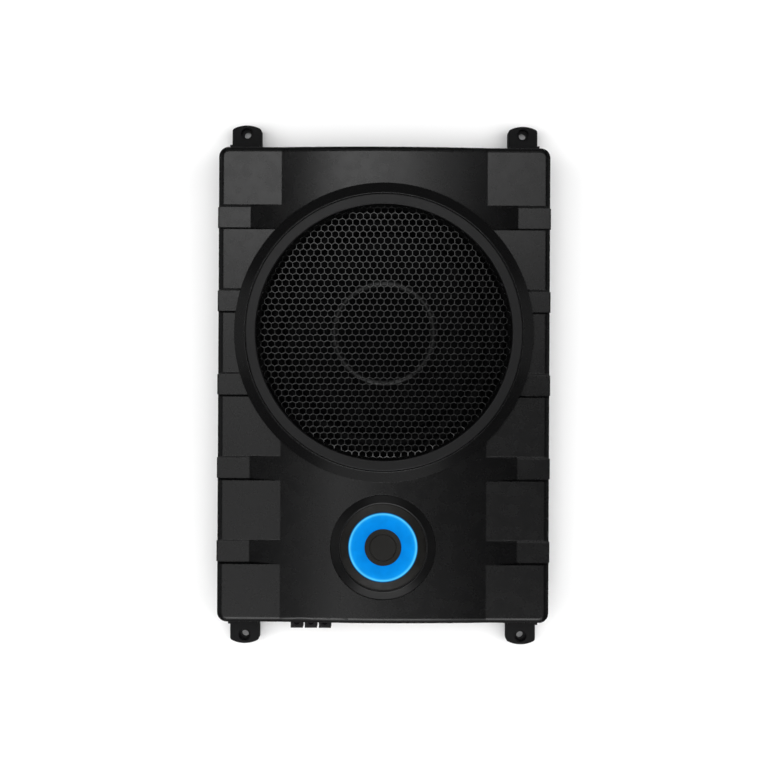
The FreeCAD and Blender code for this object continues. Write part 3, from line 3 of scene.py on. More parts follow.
import bmesh
import bpy
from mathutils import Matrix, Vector


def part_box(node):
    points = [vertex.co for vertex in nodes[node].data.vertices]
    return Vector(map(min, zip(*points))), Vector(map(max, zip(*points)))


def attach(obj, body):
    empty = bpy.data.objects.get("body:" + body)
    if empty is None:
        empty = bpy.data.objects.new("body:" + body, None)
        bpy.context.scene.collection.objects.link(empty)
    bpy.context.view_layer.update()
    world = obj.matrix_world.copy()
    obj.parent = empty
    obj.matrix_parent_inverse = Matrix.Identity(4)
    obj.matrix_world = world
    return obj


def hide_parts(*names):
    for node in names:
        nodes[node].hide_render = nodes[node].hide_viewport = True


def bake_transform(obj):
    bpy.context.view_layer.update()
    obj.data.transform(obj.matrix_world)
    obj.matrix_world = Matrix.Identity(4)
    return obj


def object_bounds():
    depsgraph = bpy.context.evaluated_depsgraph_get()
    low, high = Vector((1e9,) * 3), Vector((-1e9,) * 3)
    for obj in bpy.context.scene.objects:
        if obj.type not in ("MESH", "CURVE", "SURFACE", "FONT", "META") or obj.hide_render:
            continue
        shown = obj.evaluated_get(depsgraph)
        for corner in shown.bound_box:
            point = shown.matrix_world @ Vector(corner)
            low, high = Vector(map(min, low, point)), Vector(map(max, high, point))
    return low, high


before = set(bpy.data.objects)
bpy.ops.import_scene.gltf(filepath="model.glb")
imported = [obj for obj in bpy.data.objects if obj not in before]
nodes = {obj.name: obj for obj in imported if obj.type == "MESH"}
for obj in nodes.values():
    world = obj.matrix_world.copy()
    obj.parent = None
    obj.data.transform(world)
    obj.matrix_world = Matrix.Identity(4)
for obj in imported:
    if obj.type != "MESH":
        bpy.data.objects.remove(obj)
cad_low, cad_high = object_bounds()

MM = 0.001


# ---------------------------------------------------------------- places read from the frame

def middle_of(node):
    low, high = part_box(node)
    return (low + high) / 2


speaker = middle_of("grille_ring")
badge = middle_of("badge_bezel")


# ---------------------------------------------------------------- material building blocks

class Surface:
    """A node material with one principled shader, built up a layer at a time."""

    def __init__(self, name, colour, roughness, metallic=0.0, **sockets):
        self.material = bpy.data.materials.new(name)
        self.material.use_nodes = True
        self.tree = self.material.node_tree
        self.shader = self.tree.nodes["Principled BSDF"]
        self.colour = (*colour, 1.0)
        self.shader.inputs["Base Color"].default_value = self.colour
        self.shader.inputs["Roughness"].default_value = roughness
        self.shader.inputs["Metallic"].default_value = metallic
        for socket, value in sockets.items():
            self.shader.inputs[socket.replace("_", " ")].default_value = value
        self.roughness = roughness
        self.where = self.add("ShaderNodeTexCoord").outputs["Object"]
        self.normal = None
        self.paint = None

    def add(self, kind, **settings):
        node = self.tree.nodes.new(kind)
        for key, value in settings.items():
            setattr(node, key, value)
        return node

    def link(self, start, end):
        self.tree.links.new(start, end)

    def noise(self, size_mm, detail=3.0, rough=0.55, stretch=(1, 1, 1)):
        """Noise whose features are about size_mm across, stretched along the axes given."""
        texture = self.add("ShaderNodeTexNoise")
        texture.inputs["Scale"].default_value = 1000.0 / size_mm
        texture.inputs["Detail"].default_value = detail
        texture.inputs["Roughness"].default_value = rough
        where = self.where
        if stretch != (1, 1, 1):
            mapping = self.add("ShaderNodeMapping")
            mapping.inputs["Scale"].default_value = [1 / value for value in stretch]
            self.link(where, mapping.inputs["Vector"])
            where = mapping.outputs["Vector"]
        self.link(where, texture.inputs["Vector"])
        return texture.outputs["Fac"]

    def ranged(self, value, low, high, start=0.35, end=0.65):
        """A value mapped from one range to another."""
        node = self.add("ShaderNodeMapRange")
        node.inputs["From Min"].default_value = start
        node.inputs["From Max"].default_value = end
        node.inputs["To Min"].default_value = low
        node.inputs["To Max"].default_value = high
        self.link(value, node.inputs["Value"])
        return node.outputs["Result"]

    def tint(self, factor, colour):
        """Mix another colour in where a factor says."""
        mix = self.add("ShaderNodeMix", data_type="RGBA")
        if self.paint is None:
            mix.inputs["A"].default_value = self.colour
        else:
            self.link(self.paint, mix.inputs["A"])
        mix.inputs["B"].default_value = (*colour, 1.0)
        self.link(factor, mix.inputs["Factor"])
        self.paint = mix.outputs["Result"]
        self.link(self.paint, self.shader.inputs["Base Color"])
        return self

    def mottled(self, size_mm, amount):
        """Slow colour change over the surface."""
        other = [min(1.0, value * (1 + amount) + 0.002 * amount) for value in self.colour[:3]]
        return self.tint(self.ranged(self.noise(size_mm), 0.0, 1.0), other)

    def worn(self, size_mm, spread):
        """Roughness that wanders round its own value."""
        low = max(0.02, self.roughness - spread)
        high = min(1.0, self.roughness + spread)
        self.link(self.ranged(self.noise(size_mm, 5.0), low, high), self.shader.inputs["Roughness"])
        return self

    def grained(self, size_mm, height_mm, strength=1.0, detail=2.0, stretch=(1, 1, 1)):
        """Fine relief."""
        return self.relief(self.noise(size_mm, detail, 0.5, stretch), height_mm, strength)

    def relief(self, height, height_mm, strength=1.0):
        """A bump from a height value, on top of any relief added before."""
        bump = self.add("ShaderNodeBump")
        bump.inputs["Distance"].default_value = height_mm * MM
        bump.inputs["Strength"].default_value = strength
        self.link(height, bump.inputs["Height"])
        if self.normal is not None:
            self.link(self.normal, bump.inputs["Normal"])
        self.normal = bump.outputs["Normal"]
        self.link(self.normal, self.shader.inputs["Normal"])
        return self

    def eased(self, radius_mm):
        """Edges shaded as if slightly rounded."""
        bevel = self.add("ShaderNodeBevel", samples=6)
        bevel.inputs["Radius"].default_value = radius_mm * MM
        self.normal = bevel.outputs["Normal"]
        self.link(self.normal, self.shader.inputs["Normal"])
        return self

    def radius_from(self, centre):
        """Distance in plan from a centre, in metres."""
        shift = self.add("ShaderNodeVectorMath", operation="SUBTRACT")
        shift.inputs[1].default_value = centre
        self.link(self.where, shift.inputs[0])
        flat = self.add("ShaderNodeVectorMath", operation="MULTIPLY")
        flat.inputs[1].default_value = (1, 1, 0)
        self.link(shift.outputs["Vector"], flat.inputs[0])
        length = self.add("ShaderNodeVectorMath", operation="LENGTH")
        self.link(flat.outputs["Vector"], length.inputs[0])
        return length.outputs["Value"]


def dress(material, *names):
    """Give CAD nodes a material."""
    for name in names:
        data = nodes[name].data
        data.materials.clear()
        data.materials.append(material)


# ---------------------------------------------------------------- materials

def black_plastic(name, colour=(0.0010, 0.0010, 0.0011), roughness=0.27, eased=0.45, gloss=0.5):
    surface = Surface(name, colour, roughness, Specular_IOR_Level=gloss)
    surface.eased(eased)
    surface.mottled(60.0, 0.25)
    surface.worn(9.0, 0.015)
    surface.grained(0.9, 0.003, 0.3)
    return surface.material


def powder_coat(name, colour=(0.006, 0.006, 0.0064), roughness=0.45):
    surface = Surface(name, colour, roughness)
    surface.mottled(25.0, 0.3)
    surface.worn(8.0, 0.05)
    surface.grained(0.8, 0.02, 0.6, detail=1.0)
    return surface.material


def brushed(name, colour, roughness=0.32, stretch=(18, 1, 1)):
    surface = Surface(name, colour, roughness, metallic=1.0)
    surface.mottled(14.0, 0.15)
    surface.grained(0.25, 0.006, 0.5, stretch=stretch)
    surface.worn(5.0, 0.08)
    return surface.material


def rubber(name, colour=(0.004, 0.004, 0.004), roughness=0.55, gloss=0.35):
    surface = Surface(name, colour, roughness, Specular_IOR_Level=gloss)
    surface.mottled(12.0, 0.5)
    surface.worn(6.0, 0.08)
    surface.grained(0.4, 0.015, 0.5)
    return surface.material


def moulded(name, colour, roughness=0.4, size_mm=10.0, gloss=0.5):
    surface = Surface(name, colour, roughness, Specular_IOR_Level=gloss)
    surface.mottled(size_mm, 0.25)
    surface.worn(size_mm / 2, 0.06)
    surface.grained(0.5, 0.01, 0.5)
    return surface.material


def cone_paper():
    surface = Surface("cone_paper_black", (0.0008, 0.0008, 0.0009), 0.55, Specular_IOR_Level=0.015)
    surface.mottled(7.0, 0.8)
    surface.grained(1.4, 0.10, 0.6, detail=4.0)
    surface.worn(4.0, 0.12)
    return surface.material


def spider_cloth():
    surface = Surface("spider_woven", (0.50, 0.30, 0.09), 0.75)
    surface.mottled(9.0, 0.3)
    for turn in ((6.0, 1, 1), (1, 6.0, 1)):
        surface.grained(0.5, 0.05, 0.6, stretch=turn)
    return surface.material


def circuit_board():
    surface = Surface("solder_mask_green", (0.010, 0.085, 0.030), 0.3, Coat_Weight=0.4)
    tracks = surface.add("ShaderNodeTexBrick")
    tracks.inputs["Scale"].default_value = 120.0
    tracks.inputs["Mortar Size"].default_value = 0.03
    surface.link(surface.where, tracks.inputs["Vector"])
    surface.tint(surface.ranged(tracks.outputs["Fac"], 0.0, 0.6, 0.0, 1.0), (0.03, 0.16, 0.06))
    surface.relief(tracks.outputs["Fac"], 0.02, 0.4)
    return surface.material


def copper_turns(name):
    surface = Surface(name, (0.55, 0.20, 0.07), 0.3, metallic=1.0)
    surface.mottled(5.0, 0.3)
    surface.grained(0.6, 0.15, 0.8, stretch=(1, 1, 10))
    return surface.material


def glowing_lens():
    """The badge's light guide: even blue, with a thin paler line round its edge."""
    surface = Surface("badge_glow_blue", (0.0, 0.01, 0.05), 0.40, Specular_IOR_Level=0.02)
    low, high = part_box("badge_lens")
    radius = (high.x - low.x) / 2
    distance = surface.radius_from(tuple((low + high) / 2))
    ramp = surface.add("ShaderNodeValToRGB")
    stops = ramp.color_ramp
    stops.elements[0].position = 0.50
    stops.elements[0].color = (0.0, 0.120, 0.50, 1)
    stops.elements[1].position = 1.0
    stops.elements[1].color = (0.0, 0.03, 0.12, 1)
    for place, colour in (
        (0.56, (0.0, 0.225, 0.70, 1)),
        (0.80, (0.001, 0.255, 0.75, 1)),
        (0.90, (0.003, 0.290, 0.80, 1)),
        (0.940, (0.05, 0.50, 0.95, 1)),
        (0.960, (0.12, 0.70, 1.0, 1)),
        (0.976, (0.04, 0.36, 0.75, 1)),
    ):
        stops.elements.new(place).color = colour
    surface.link(surface.ranged(distance, 0.0, 1.0, 0.0, radius), ramp.inputs["Fac"])
    blotch = surface.ranged(surface.noise(9.0, 2.0), 0.92, 1.06)
    scaled = surface.add("ShaderNodeVectorMath", operation="SCALE")
    surface.link(ramp.outputs["Color"], scaled.inputs[0])
    surface.link(blotch, scaled.inputs["Scale"])
    surface.link(scaled.outputs["Vector"], surface.shader.inputs["Emission Color"])
    surface.shader.inputs["Emission Strength"].default_value = 1.0
    surface.grained(1.5, 0.01, 0.3)
    return surface.material


def lamp_lens():
    surface = Surface("lamp_lens_blue", (0.05, 0.22, 0.65), 0.18, Coat_Weight=0.5)
    surface.mottled(1.5, 0.3)
    surface.grained(0.8, 0.01, 0.4)
    surface.shader.inputs["Emission Color"].default_value = (0.03, 0.25, 0.9, 1)
    surface.shader.inputs["Emission Strength"].default_value = 0.5
    return surface.material


housing_black = black_plastic("housing_satin_black")
trim_black = black_plastic("trim_satin_black", (0.0032, 0.0032, 0.0034), 0.36, 0.3, 0.32)
bezel_black = black_plastic("bezel_satin_black", (0.0020, 0.0020, 0.0021), 0.30, 0.1, 0.5)
ring_flat_black = moulded("badge_flat_black", (0.0042, 0.0039, 0.0033), 0.34, 10.0, 0.24)
emblem_grey = moulded("badge_centre_grey", (0.0058, 0.0055, 0.0048), 0.45, 10.0, 0.24)
coated_steel = powder_coat("coated_black_steel")
foot_coat = black_plastic("foot_satin_black", (0.0025, 0.0025, 0.0027), 0.50, 0.4, 0.2)
foam = rubber("foam_gasket", (0.004, 0.004, 0.004), 0.85, 0.1)
surround_rubber = rubber("surround_rubber_black", (0.0008, 0.0008, 0.0009), 0.40, 0.03)
zinc = brushed("zinc_plate", (0.55, 0.53, 0.47), 0.35)
black_oxide = brushed("black_oxide_screws", (0.045, 0.045, 0.048), 0.38)
socket_plastic = moulded("socket_black", (0.0040, 0.0040, 0.0043), 0.42, 10.0, 0.25)

dress(housing_black, "housing")
dress(trim_black, "grille_clips")
dress(coated_steel, "base_plate")
dress(powder_coat("panel_coated_black", (0.016, 0.016, 0.017)), "control_panel")
dress(moulded("basket_flat_black", (0.0020, 0.0020, 0.0021), 0.6, 10.0, 0.05), "speaker_basket")
dress(foot_coat, *[name for name in nodes if name.startswith("mounting_foot_") and "screws" not in name])
dress(foam, "base_gasket", "speaker_gasket")
dress(black_oxide, "base_screws", "speaker_screws", "control_panel_screws", "mounting_foot_screws")
dress(brushed("terminal_screws_black", (0.010, 0.010, 0.011), 0.40), "terminal_screws")
dress(zinc, "board_screws", "board_standoffs")
dress(brushed("steel_plates", (0.42, 0.42, 0.42), 0.35), "top_plate", "pole_plate")
dress(moulded("ferrite_grey", (0.035, 0.035, 0.038), 0.55), "ring_magnet", "toroid_core", "filter_choke")
dress(rubber("magnet_boot_rubber"), "magnet_boot")
dress(moulded("phenolic_brown", (0.10, 0.045, 0.015), 0.45), "speaker_terminals")
dress(glowing_lens(), "badge_lens")
dress(circuit_board(), "amplifier_board", "badge_led_board")
dress(moulded("led_package_white", (0.70, 0.74, 0.78), 0.3, 2.0), "badge_leds")
dress(lamp_lens(), "indicator_lamps")
dress(brushed("extruded_aluminium", (0.62, 0.62, 0.63), 0.4, (1, 1, 18)), "heat_sink")
dress(moulded("transistor_epoxy", (0.012, 0.012, 0.012), 0.5, 4.0), "power_transistors")
dress(brushed("spring_strip", (0.40, 0.41, 0.43), 0.3), "transistor_clips")
dress(moulded("capacitor_sleeve_blue", (0.010, 0.022, 0.090), 0.28), "filter_capacitors")
dress(brushed("jack_plating_nickel", (0.62, 0.60, 0.55), 0.25, (1, 12, 1)), "rca_jacks")
dress(socket_plastic, "high_level_socket", "remote_socket", "power_terminal_block", "fuse_holder",
      "phase_switch_body")
dress(moulded("fuse_amber", (0.65, 0.30, 0.02), 0.22, 5.0), "fuses")
dress(brushed("pot_case_steel", (0.42, 0.42, 0.42)), "potentiometers")
dress(moulded("knob_black", (0.022, 0.022, 0.023), 0.35, 4.0), "gain_knob", "crossover_knob", "boost_knob")
dress(moulded("slider_pale", (0.55, 0.55, 0.52), 0.4, 3.0), "phase_slider")
dress(moulded("lead_insulation_red", (0.25, 0.010, 0.010), 0.38, 6.0), "speaker_leads")
dress(brushed("former_aluminium", (0.70, 0.68, 0.62), 0.3), "voice_coil_former")
dress(copper_turns("enamelled_copper"), "voice_coil", "toroid_winding")


# ---------------------------------------------------------------- turned pieces

ROUND_STEPS = 5
LEAST_HALF_ANGLE = 0.05     # radians, so that a very sharp corner still has a finite cut
CUT_SHARE = 0.35            # of the shorter side next to a corner, at most
SUPPORT = 1.25              # a point this many cuts from a corner keeps the side beside it straight
LATHE_SEGMENTS = 240
AXIS_RADIUS = 0.001 * MM    # a point nearer to the axis than this is on it


def rounded(outline, radius_mm, closed=True):
    """An outline with each corner turned into a small arc."""
    points = [Vector((r, z)) for r, z in outline]
    smooth = []
    for index, at in enumerate(points):
        if not closed and index in (0, len(points) - 1):
            smooth.append(at)
            continue
        before, after = points[index - 1], points[(index + 1) % len(points)]
        back, on = (before - at).normalized(), (after - at).normalized()
        half_angle = max(LEAST_HALF_ANGLE, back.angle(on) / 2)
        room = CUT_SHARE * min((before - at).length, (after - at).length)
        cut = min(radius_mm * MM / math.tan(half_angle), room)
        smooth.append(at + back * cut * SUPPORT)
        for step in range(ROUND_STEPS):
            t = step / (ROUND_STEPS - 1)
            smooth.append(at + back * cut * (1 - t) ** 2 + on * cut * t ** 2)
        smooth.append(at + on * cut * SUPPORT)
    return smooth


def lathe(name, outline, centre, material, node, body="root", closed=True):
    """A turned piece standing for a node. An open outline starts and ends on the axis, and a piece
    with no body is left unattached, and its caller bakes its transform."""
    mesh = bmesh.new()
    rings = []
    for radius, height in outline:
        if radius < AXIS_RADIUS:
            rings.append([mesh.verts.new((centre.x, centre.y, height))])
            continue
        ring = []
        for k in range(LATHE_SEGMENTS):
            turn = 2 * math.pi * k / LATHE_SEGMENTS
            ring.append(mesh.verts.new((centre.x + radius * math.cos(turn),
                                        centre.y + radius * math.sin(turn), height)))
        rings.append(ring)
    pairs = list(zip(rings, rings[1:]))
    if closed:
        pairs.append((rings[-1], rings[0]))
    for one, two in pairs:
        for k in range(LATHE_SEGMENTS):
            n = (k + 1) % LATHE_SEGMENTS
            if len(one) == 1:
                mesh.faces.new((one[0], two[k], two[n]))
            elif len(two) == 1:
                mesh.faces.new((one[k], two[0], one[n]))
            else:
                mesh.faces.new((one[k], two[k], two[n], one[n]))
    bmesh.ops.recalc_face_normals(mesh, faces=mesh.faces)
    data = bpy.data.meshes.new(name)
    mesh.to_mesh(data)
    mesh.free()
    data.polygons.foreach_set("use_smooth", [True] * len(data.polygons))
    data.materials.append(material)
    piece = bpy.data.objects.new(name, data)
    bpy.context.scene.collection.objects.link(piece)
    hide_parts(node)
    if body:
        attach(piece, body)
    return piece


def radius_of(node):
    """Half the width of a round node."""
    low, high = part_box(node)
    return (high.x - low.x) / 2


def build_ring():
    """The grille's trim ring, with its skirt down to the driver's flange."""
    low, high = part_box("grille_ring")
    outer = radius_of("grille_ring")
    face_width, face_depth, skirt_wall = 7.8 * MM, 4.0 * MM, 2.4 * MM
    opening, skirt = outer - face_width, outer - skirt_wall
    under = high.z - face_depth
    outline = [(opening, under), (skirt, under), (skirt, low.z),
               (outer, low.z), (outer, high.z), (opening, high.z)]
    lathe("grille_trim_ring", rounded(outline, 0.9), speaker, trim_black, "grille_ring")


def build_cone():
    """A cone of even thickness that sags a little between its neck and its flat rim."""
    low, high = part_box("speaker_cone")
    edge, neck = radius_of("speaker_cone"), 19.2 * MM
    thick, rim, deepest_sag = 1.0 * MM, 1.5 * MM, 0.6 * MM
    upper, lower = [], []
    steps = 10
    for step in range(steps + 1):
        share = step / steps
        radius = neck + (edge - rim - neck) * share
        height = low.z + thick + (high.z - low.z - thick) * share
        sag = deepest_sag * math.sin(math.pi * share)
        upper.append((radius, height - sag))
        lower.append((radius, height - sag - thick))
    upper.append((edge, high.z))
    lower.append((edge, high.z - thick))
    lathe("cone_body", lower + upper[::-1], speaker, cone_paper(), "speaker_cone",
          "cone_assembly")


def build_dust_cap():
    """A shallow dome inside a raised bead."""
    low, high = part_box("dust_cap")
    outer = radius_of("dust_cap")
    bead_width, neck_height, dome_edge, dome_rise = 6 * MM, 1.0 * MM, 2.0 * MM, 2.0 * MM
    inner = outer - bead_width
    bead = high.z
    shoulder = bead - 0.3 * MM
    seat = low.z + neck_height
    dome = [(inner * share, seat + dome_edge + dome_rise * (1 - share * share))
            for share in (0, 0.2, 0.4, 0.6, 0.8, 0.95)]
    rim = [(inner + 0.5 * MM, seat + 1.9 * MM), (inner + 1.1 * MM, shoulder), (inner + 2.8 * MM, bead),
           (inner + 4.6 * MM, shoulder), (outer, bead - 1.8 * MM), (outer - 0.1 * MM, seat + 1.4 * MM)]
    under = [(inner, seat + 0.4 * MM), (inner * 0.5, seat + 1.8 * MM), (0, seat + 2.2 * MM)]
    satin = moulded("cap_bead_satin_black", (0.0008, 0.0008, 0.0009), 0.34, 9.0, 0.6)
    matt = moulded("cap_matt_black", (0.0008, 0.0008, 0.0009), 0.45, 9.0, 0.02)
    cap = lathe("dust_cap_dome", dome + rim + under, speaker, matt, "dust_cap",
                "cone_assembly", closed=False)
    cap.data.materials.append(satin)
    bead_start = inner + 0.3 * MM
    for face in cap.data.polygons:
        reach = math.hypot(face.center.x - speaker.x, face.center.y - speaker.y)
        face.material_index = int(reach > bead_start)


def skinned(under, thick):
    """A closed outline of even thickness over an open line."""
    over = []
    last = len(under) - 1
    for index, (radius, height) in enumerate(under):
        before, after = under[max(0, index - 1)], under[min(last, index + 1)]
        along = Vector((after[0] - before[0], after[1] - before[1])).normalized()
        over.append((radius - along.y * thick, height + along.x * thick))
    return under + over[::-1]


def build_spider():
    """A corrugated disc whose raised hub sits round the coil former."""
    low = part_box("spider")[0]
    rim = radius_of("spider")
    former_gap, hub_width, slope_end, hub_rise = 0.3 * MM, 1.6 * MM, 4.0 * MM, 4.0 * MM
    thick, half_wave, waves, steps, flat_from = 0.6 * MM, 0.6 * MM, 5, 60, 0.96
    hub = radius_of("voice_coil_former") + former_gap
    foot = hub + slope_end
    hub_z = low.z + hub_rise
    under = [(hub, hub_z), (hub + hub_width, hub_z)]
    for step in range(steps + 1):
        share = step / steps
        lift = half_wave * (1 - math.cos(2 * math.pi * waves * share)) if share < flat_from else 0.0
        under.append((foot + (rim - foot) * share, low.z + lift))
    piece = lathe("spider_disc", skinned(under, thick), speaker, spider_cloth(), "spider",
                  None)
    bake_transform(piece)


def build_surround():
    """A half roll of rubber from the cone's edge to the basket's flange."""
    low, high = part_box("cone_surround")
    lip = radius_of("cone_surround")
    thick, roll_gap, flange_width, flange_rise = 0.8 * MM, 0.3 * MM, 6.0 * MM, 3.0 * MM
    cone_edge = radius_of("speaker_cone")
    inner, outer = cone_edge + roll_gap, lip - flange_width
    inner_z, outer_z = low.z, low.z + flange_rise
    middle, half = (inner + outer) / 2, (outer - inner) / 2
    crest = high.z - thick
    steps = 18
    glued_width, bend, outer_bend = 3.0 * MM, 0.4 * MM, 0.7 * MM
    under = [(cone_edge - glued_width, inner_z), (cone_edge - bend, inner_z)]
    for step in range(steps + 1):
        turn = math.pi * step / steps
        base = inner_z + (outer_z - inner_z) * step / steps
        under.append((middle - half * math.cos(turn), base + (crest - base) * math.sin(turn)))
    under += [(outer + outer_bend, outer_z), (lip, outer_z)]
    piece = lathe("surround_roll", skinned(under, thick), speaker, surround_rubber, "cone_surround",
                  None)
    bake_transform(piece)


RING_GAP = 0.15 * MM
LENS_GAP = 0.1 * MM
BEZEL_SKIRT = 31.0 * MM


def build_badge_frame():
    """The bezel: a sloping face, a step for the ring, a ledge under the lens and a skirt below."""
    low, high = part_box("badge_bezel")
    outer, lens = radius_of("badge_bezel"), radius_of("badge_lens")
    ring_z, lens_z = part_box("badge_ring")[0].z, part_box("badge_lens")[0].z
    step, pocket = radius_of("badge_ring") + RING_GAP, lens + LENS_GAP
    ledge, skirt = lens - 1.6 * MM, BEZEL_SKIRT - 2.0 * MM
    ledge_z = lens_z - 1.5 * MM
    edge_z = high.z - 2.4 * MM
    outline = [(outer, lens_z), (outer, edge_z), (step + 0.5 * MM, high.z), (step, high.z - 0.1 * MM),
               (step, ring_z), (pocket, ring_z), (pocket, lens_z), (ledge, lens_z), (ledge, ledge_z),
               (skirt, ledge_z), (skirt, low.z), (BEZEL_SKIRT, low.z), (BEZEL_SKIRT, lens_z)]
    lathe("badge_frame", rounded(outline, 0.25), badge, bezel_black, "badge_bezel")


def build_badge_ring():
    """The flat-black ring that slopes from the lens down to the bezel's step."""
    low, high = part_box("badge_ring")
    drop, inset = 0.95 * MM, 0.6 * MM
    pocket = radius_of("badge_lens") + LENS_GAP
    rim = radius_of("badge_ring") - inset
    outline = [(pocket, low.z), (rim, low.z), (rim, high.z - drop), (pocket, high.z)]
    lathe("badge_slope_ring", rounded(outline, 0.15), badge, ring_flat_black, "badge_ring")


def build_badge_disc():
    """The plain centre disc, with one round groove."""
    low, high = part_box("badge_emblem")
    disc = radius_of("badge_emblem")
    groove, half_width, depth = disc * 0.72, 0.5 * MM, 0.3 * MM
    outline = [(0, low.z), (disc, low.z), (disc, high.z), (groove + half_width, high.z),
               (groove, high.z - depth), (groove - half_width, high.z), (0, high.z)]
    lathe("badge_disc", rounded(outline, 0.2, closed=False), badge, emblem_grey, "badge_emblem",
          closed=False)


build_ring()
build_cone()
build_dust_cap()
build_surround()
build_spider()
build_badge_frame()
build_badge_ring()
build_badge_disc()


# ---------------------------------------------------------------- grille sheet

HOLE_PITCH = 5.15 * MM
WEB = 0.92 * MM
SHEET = 0.9 * MM
CAD_SHEET = 1.0 * MM
BORDER_DROP = 1.3 * MM
SEAT_INSET = 4.1 * MM
BORDER_WIDTH = 2.3 * MM
RIM_CELLS = 1.02            # how many cell radii inside the rim a hole's middle has to be
MERGE_DISTANCE = 0.01 * MM
# The rounded edges of a hole: how far back from its wall, and how far in from the face or the back, in mm.
FACE_ROUND = ((0.25, 0.01), (0.13, 0.05), (0.05, 0.13), (0.01, 0.26))
BACK_ROUND = ((0.03, 0.22), (0.20, 0.05))


def build_grille_sheet():
    """A slightly domed steel sheet with pointed-top hexagonal holes in rows, out to its rim."""
    low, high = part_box("grille_mesh")
    centre = Vector(((low.x + high.x) / 2, (low.y + high.y) / 2, low.z + CAD_SHEET / 2))
    blank_radius = (high.x - low.x) / 2
    border_start = blank_radius - SEAT_INSET - BORDER_WIDTH
    dome = high.z - low.z - CAD_SHEET - BORDER_DROP
    cell = HOLE_PITCH / math.sqrt(3)
    hole = (HOLE_PITCH - WEB) / math.sqrt(3)
    row_step = HOLE_PITCH * math.sqrt(3) / 2
    corners = [Vector((math.sin(k * math.pi / 3), math.cos(k * math.pi / 3))) for k in range(6)]
    half = SHEET / 2
    profile = [(cell, half)]
    profile += [(hole + back * MM, half - down * MM) for back, down in FACE_ROUND]
    profile += [(hole, 0.0)]
    profile += [(hole + back * MM, up * MM - half) for back, up in BACK_ROUND]
    profile += [(cell, -half)]
    mesh = bmesh.new()
    rows = int(blank_radius / row_step) + 1

    def lift(x, y):
        reach = math.hypot(x, y)
        rise = dome * max(0.0, 1 - (reach / border_start) ** 2)
        fall = min(1.0, max(0.0, (reach - border_start) / BORDER_WIDTH))
        return rise + BORDER_DROP * (1 - fall * fall * (3 - 2 * fall))

    def corner_vert(x, y, radius, k, height):
        px, py = x + corners[k].x * radius, y + corners[k].y * radius
        return mesh.verts.new((centre.x + px, centre.y + py, centre.z + height + lift(px, py)))

    for row in range(-rows, rows + 1):
        y = row * row_step
        shift = HOLE_PITCH / 2 if row % 2 else 0.0
        for column in range(-rows, rows + 1):
            x = column * HOLE_PITCH + shift
            reach = math.hypot(x, y)
            if reach > blank_radius - cell * RIM_CELLS:
                continue
            rings = [[corner_vert(x, y, radius, k, height) for k in range(6)] for radius, height in profile]
            for upper, lower in zip(rings, rings[1:]):
                for k in range(6):
                    n = (k + 1) % 6
                    mesh.faces.new((upper[k], lower[k], lower[n], upper[n]))
    bmesh.ops.remove_doubles(mesh, verts=mesh.verts, dist=MERGE_DISTANCE)
    bmesh.ops.recalc_face_normals(mesh, faces=mesh.faces)
    data = bpy.data.meshes.new("grille_sheet")
    mesh.to_mesh(data)
    mesh.free()
    data.polygons.foreach_set("use_smooth", [True] * len(data.polygons))
    sheet = bpy.data.objects.new("grille_sheet", data)
    bpy.context.scene.collection.objects.link(sheet)
    surface = Surface("grille_coated_black", (0.0008, 0.0008, 0.0009), 0.17, Specular_IOR_Level=0.55)
    surface.mottled(20.0, 0.3)
    surface.worn(6.0, 0.05)
    surface.grained(0.6, 0.012, 0.5)
    data.materials.append(surface.material)
    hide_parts("grille_mesh")
    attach(sheet, "root")


build_grille_sheet()


# ---------------------------------------------------------------- floor, light and camera

PAD_LEVEL = 0.056
CAMERA_RISE = 1.300
FIELD_AT_PADS = 0.5664
SENSOR = 36.0
CAMERA_SHIFT = (0.0002, 0.0007)
CAMERA_TURN = math.radians(0.28)
FLOOR_REACH = 12.0
FLOOR_GAP = 0.0002


def build_floor():
    mesh = bmesh.new()
    bmesh.ops.create_grid(mesh, x_segments=2, y_segments=2, size=FLOOR_REACH)
    data = bpy.data.meshes.new("floor")
    mesh.to_mesh(data)
    mesh.free()
    floor = bpy.data.objects.new("floor", data)
    floor.location.z = cad_low.z - FLOOR_GAP
    bpy.context.scene.collection.objects.link(floor)
    surface = Surface("pale_floor", (0.90, 0.90, 0.90), 0.9)
    surface.mottled(900.0, 0.02)
    surface.grained(4.0, 0.05, 0.1)
    data.materials.append(surface.material)
    floor.visible_glossy = False


def area_light(name, place, target, size, power):
    light = bpy.data.lights.new(name, "AREA")
    light.shape = "RECTANGLE"
    light.size, light.size_y = size
    light.energy = power
    lamp = bpy.data.objects.new(name, light)
    lamp.location = place
    lamp.rotation_mode = "QUATERNION"
    lamp.rotation_quaternion = (Vector(target) - Vector(place)).to_track_quat("-Z", "Y")
    bpy.context.scene.collection.objects.link(lamp)
    return lamp


# Each softbox: how far left, right, near and far it reaches, in degrees from straight up, and its radiance.
SOFTBOXES = {
    "key_left": (-8.5, -2, 4, 12, 3.4),
    "key_middle": (-2, 5, 4, 16, 2.3),
    "key_right": (5, 12, 4, 12, 0.8),
    "left_wash": (-9, -2, -14, 4, 0.9),
    "middle_wash": (-16, 12, -14, -4, 0.15),
    "near_box": (-10, 9, -31, -12.4, 3.1),
    "side_left": (-42, -22, -20, 20, 0.15),
}
SOFTBOX_HEIGHT = 2.2
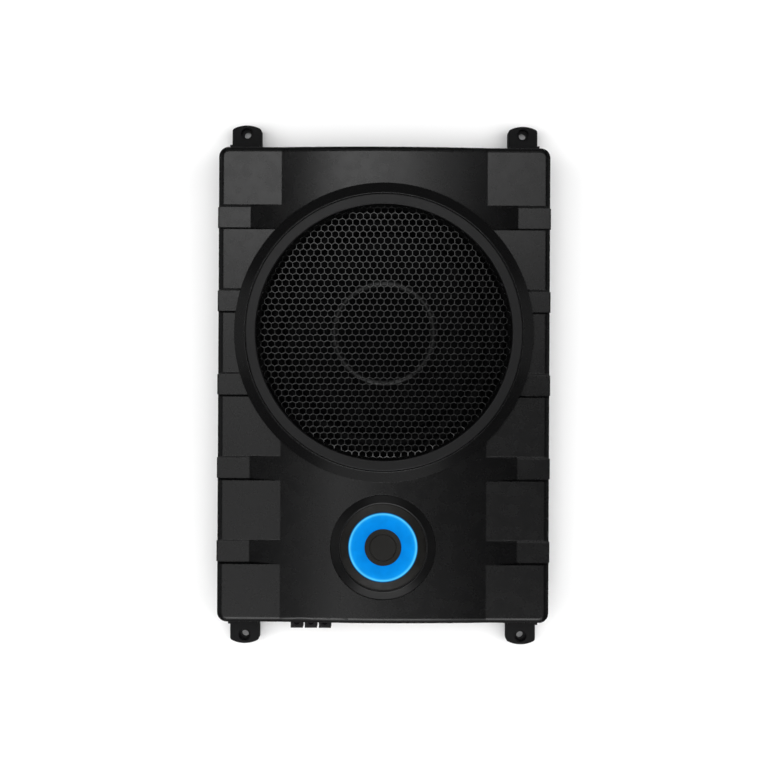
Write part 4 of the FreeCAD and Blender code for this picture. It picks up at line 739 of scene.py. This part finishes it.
# Boxes that light the ends and sides: place, aim and size in metres, and watts.
WALL_BOXES = {
    "near_end_box": ((0.0, -1.5, 1.6), (0, 0, 0.05), (1.8, 0.8), 6),
    "near_low_box": ((0.0, -2.6, 0.9), (0, -0.2, 0.05), (2.4, 1.5), 4.0),
    "far_end_box": ((0.0, 1.7, 1.6), (0, 0, 0.05), (1.4, 0.6), 1.2),
    "left_low_box": ((-2.4, 0.2, 1.1), (-0.1, 0, 0.05), (1.6, 1.2), 1.6),
    "right_low_box": ((2.4, 0.2, 1.1), (0.1, 0, 0.05), (1.6, 1.2), 1.1),
}
FILL_OUT, FILL_HEIGHT = 1.6, 2.4
FILL_SIZE = (2.0, 3.0)
FILL_WATTS = 62
# The world's strength near the horizon and overhead, and the sines of elevation that it fades between.
HORIZON_GLOW, HORIZON_END = 0.11, 0.15
CEILING_GLOW, CEILING_START = 0.012, 0.65
MIRROR_DEPTH = CAMERA_RISE - PAD_LEVEL


def reach_at(degrees):
    """How far out a flat top reflects, at the softboxes' height, seen from the camera."""
    return math.tan(math.radians(degrees)) * (SOFTBOX_HEIGHT + MIRROR_DEPTH)


def build_softboxes():
    for name, (left, right, near, far, radiance) in SOFTBOXES.items():
        low_x, high_x, low_y, high_y = [reach_at(angle) for angle in (left, right, near, far)]
        place = Vector(((low_x + high_x) / 2, (low_y + high_y) / 2, SOFTBOX_HEIGHT))
        size = (high_x - low_x, high_y - low_y)
        area_light(name, place, place - Vector((0, 0, 1)), size, radiance * math.pi * size[0] * size[1])


def build_light():
    build_softboxes()
    for name, (place, target, size, power) in WALL_BOXES.items():
        area_light(name, place, target, size, power)
    for side, name in ((-1, "floor_fill_left"), (1, "floor_fill_right")):
        fill = area_light(name, (side * FILL_OUT, 0, FILL_HEIGHT), (0, 0, 0), FILL_SIZE, FILL_WATTS)
        fill.visible_glossy = False


def build_world():
    world = bpy.data.worlds.new("studio")
    world.use_nodes = True
    tree = world.node_tree
    split = tree.nodes.new("ShaderNodeSeparateXYZ")
    height = tree.nodes.new("ShaderNodeMapRange")
    height.inputs["From Min"].default_value = HORIZON_END
    height.inputs["From Max"].default_value = CEILING_START
    height.inputs["To Min"].default_value = HORIZON_GLOW
    height.inputs["To Max"].default_value = CEILING_GLOW
    tree.links.new(tree.nodes.new("ShaderNodeTexCoord").outputs["Generated"], split.inputs["Vector"])
    tree.links.new(split.outputs["Z"], height.inputs["Value"])
    tree.links.new(height.outputs["Result"], tree.nodes["Background"].inputs["Strength"])
    tree.nodes["Background"].inputs["Color"].default_value = (1, 1, 1, 1)
    bpy.context.scene.world = world
    bpy.context.scene.view_settings.view_transform = "Standard"


def build_camera():
    lens = bpy.data.cameras.new("front_view")
    lens.sensor_width = SENSOR
    lens.lens = SENSOR * CAMERA_RISE / FIELD_AT_PADS
    lens.dof.use_dof = False
    camera = bpy.data.objects.new("front_view", lens)
    camera.location = (*CAMERA_SHIFT, PAD_LEVEL + CAMERA_RISE)
    camera.rotation_euler = (0, 0, CAMERA_TURN)
    bpy.context.scene.collection.objects.link(camera)
    bpy.context.scene.camera = camera


build_floor()
build_light()
build_world()
build_camera()
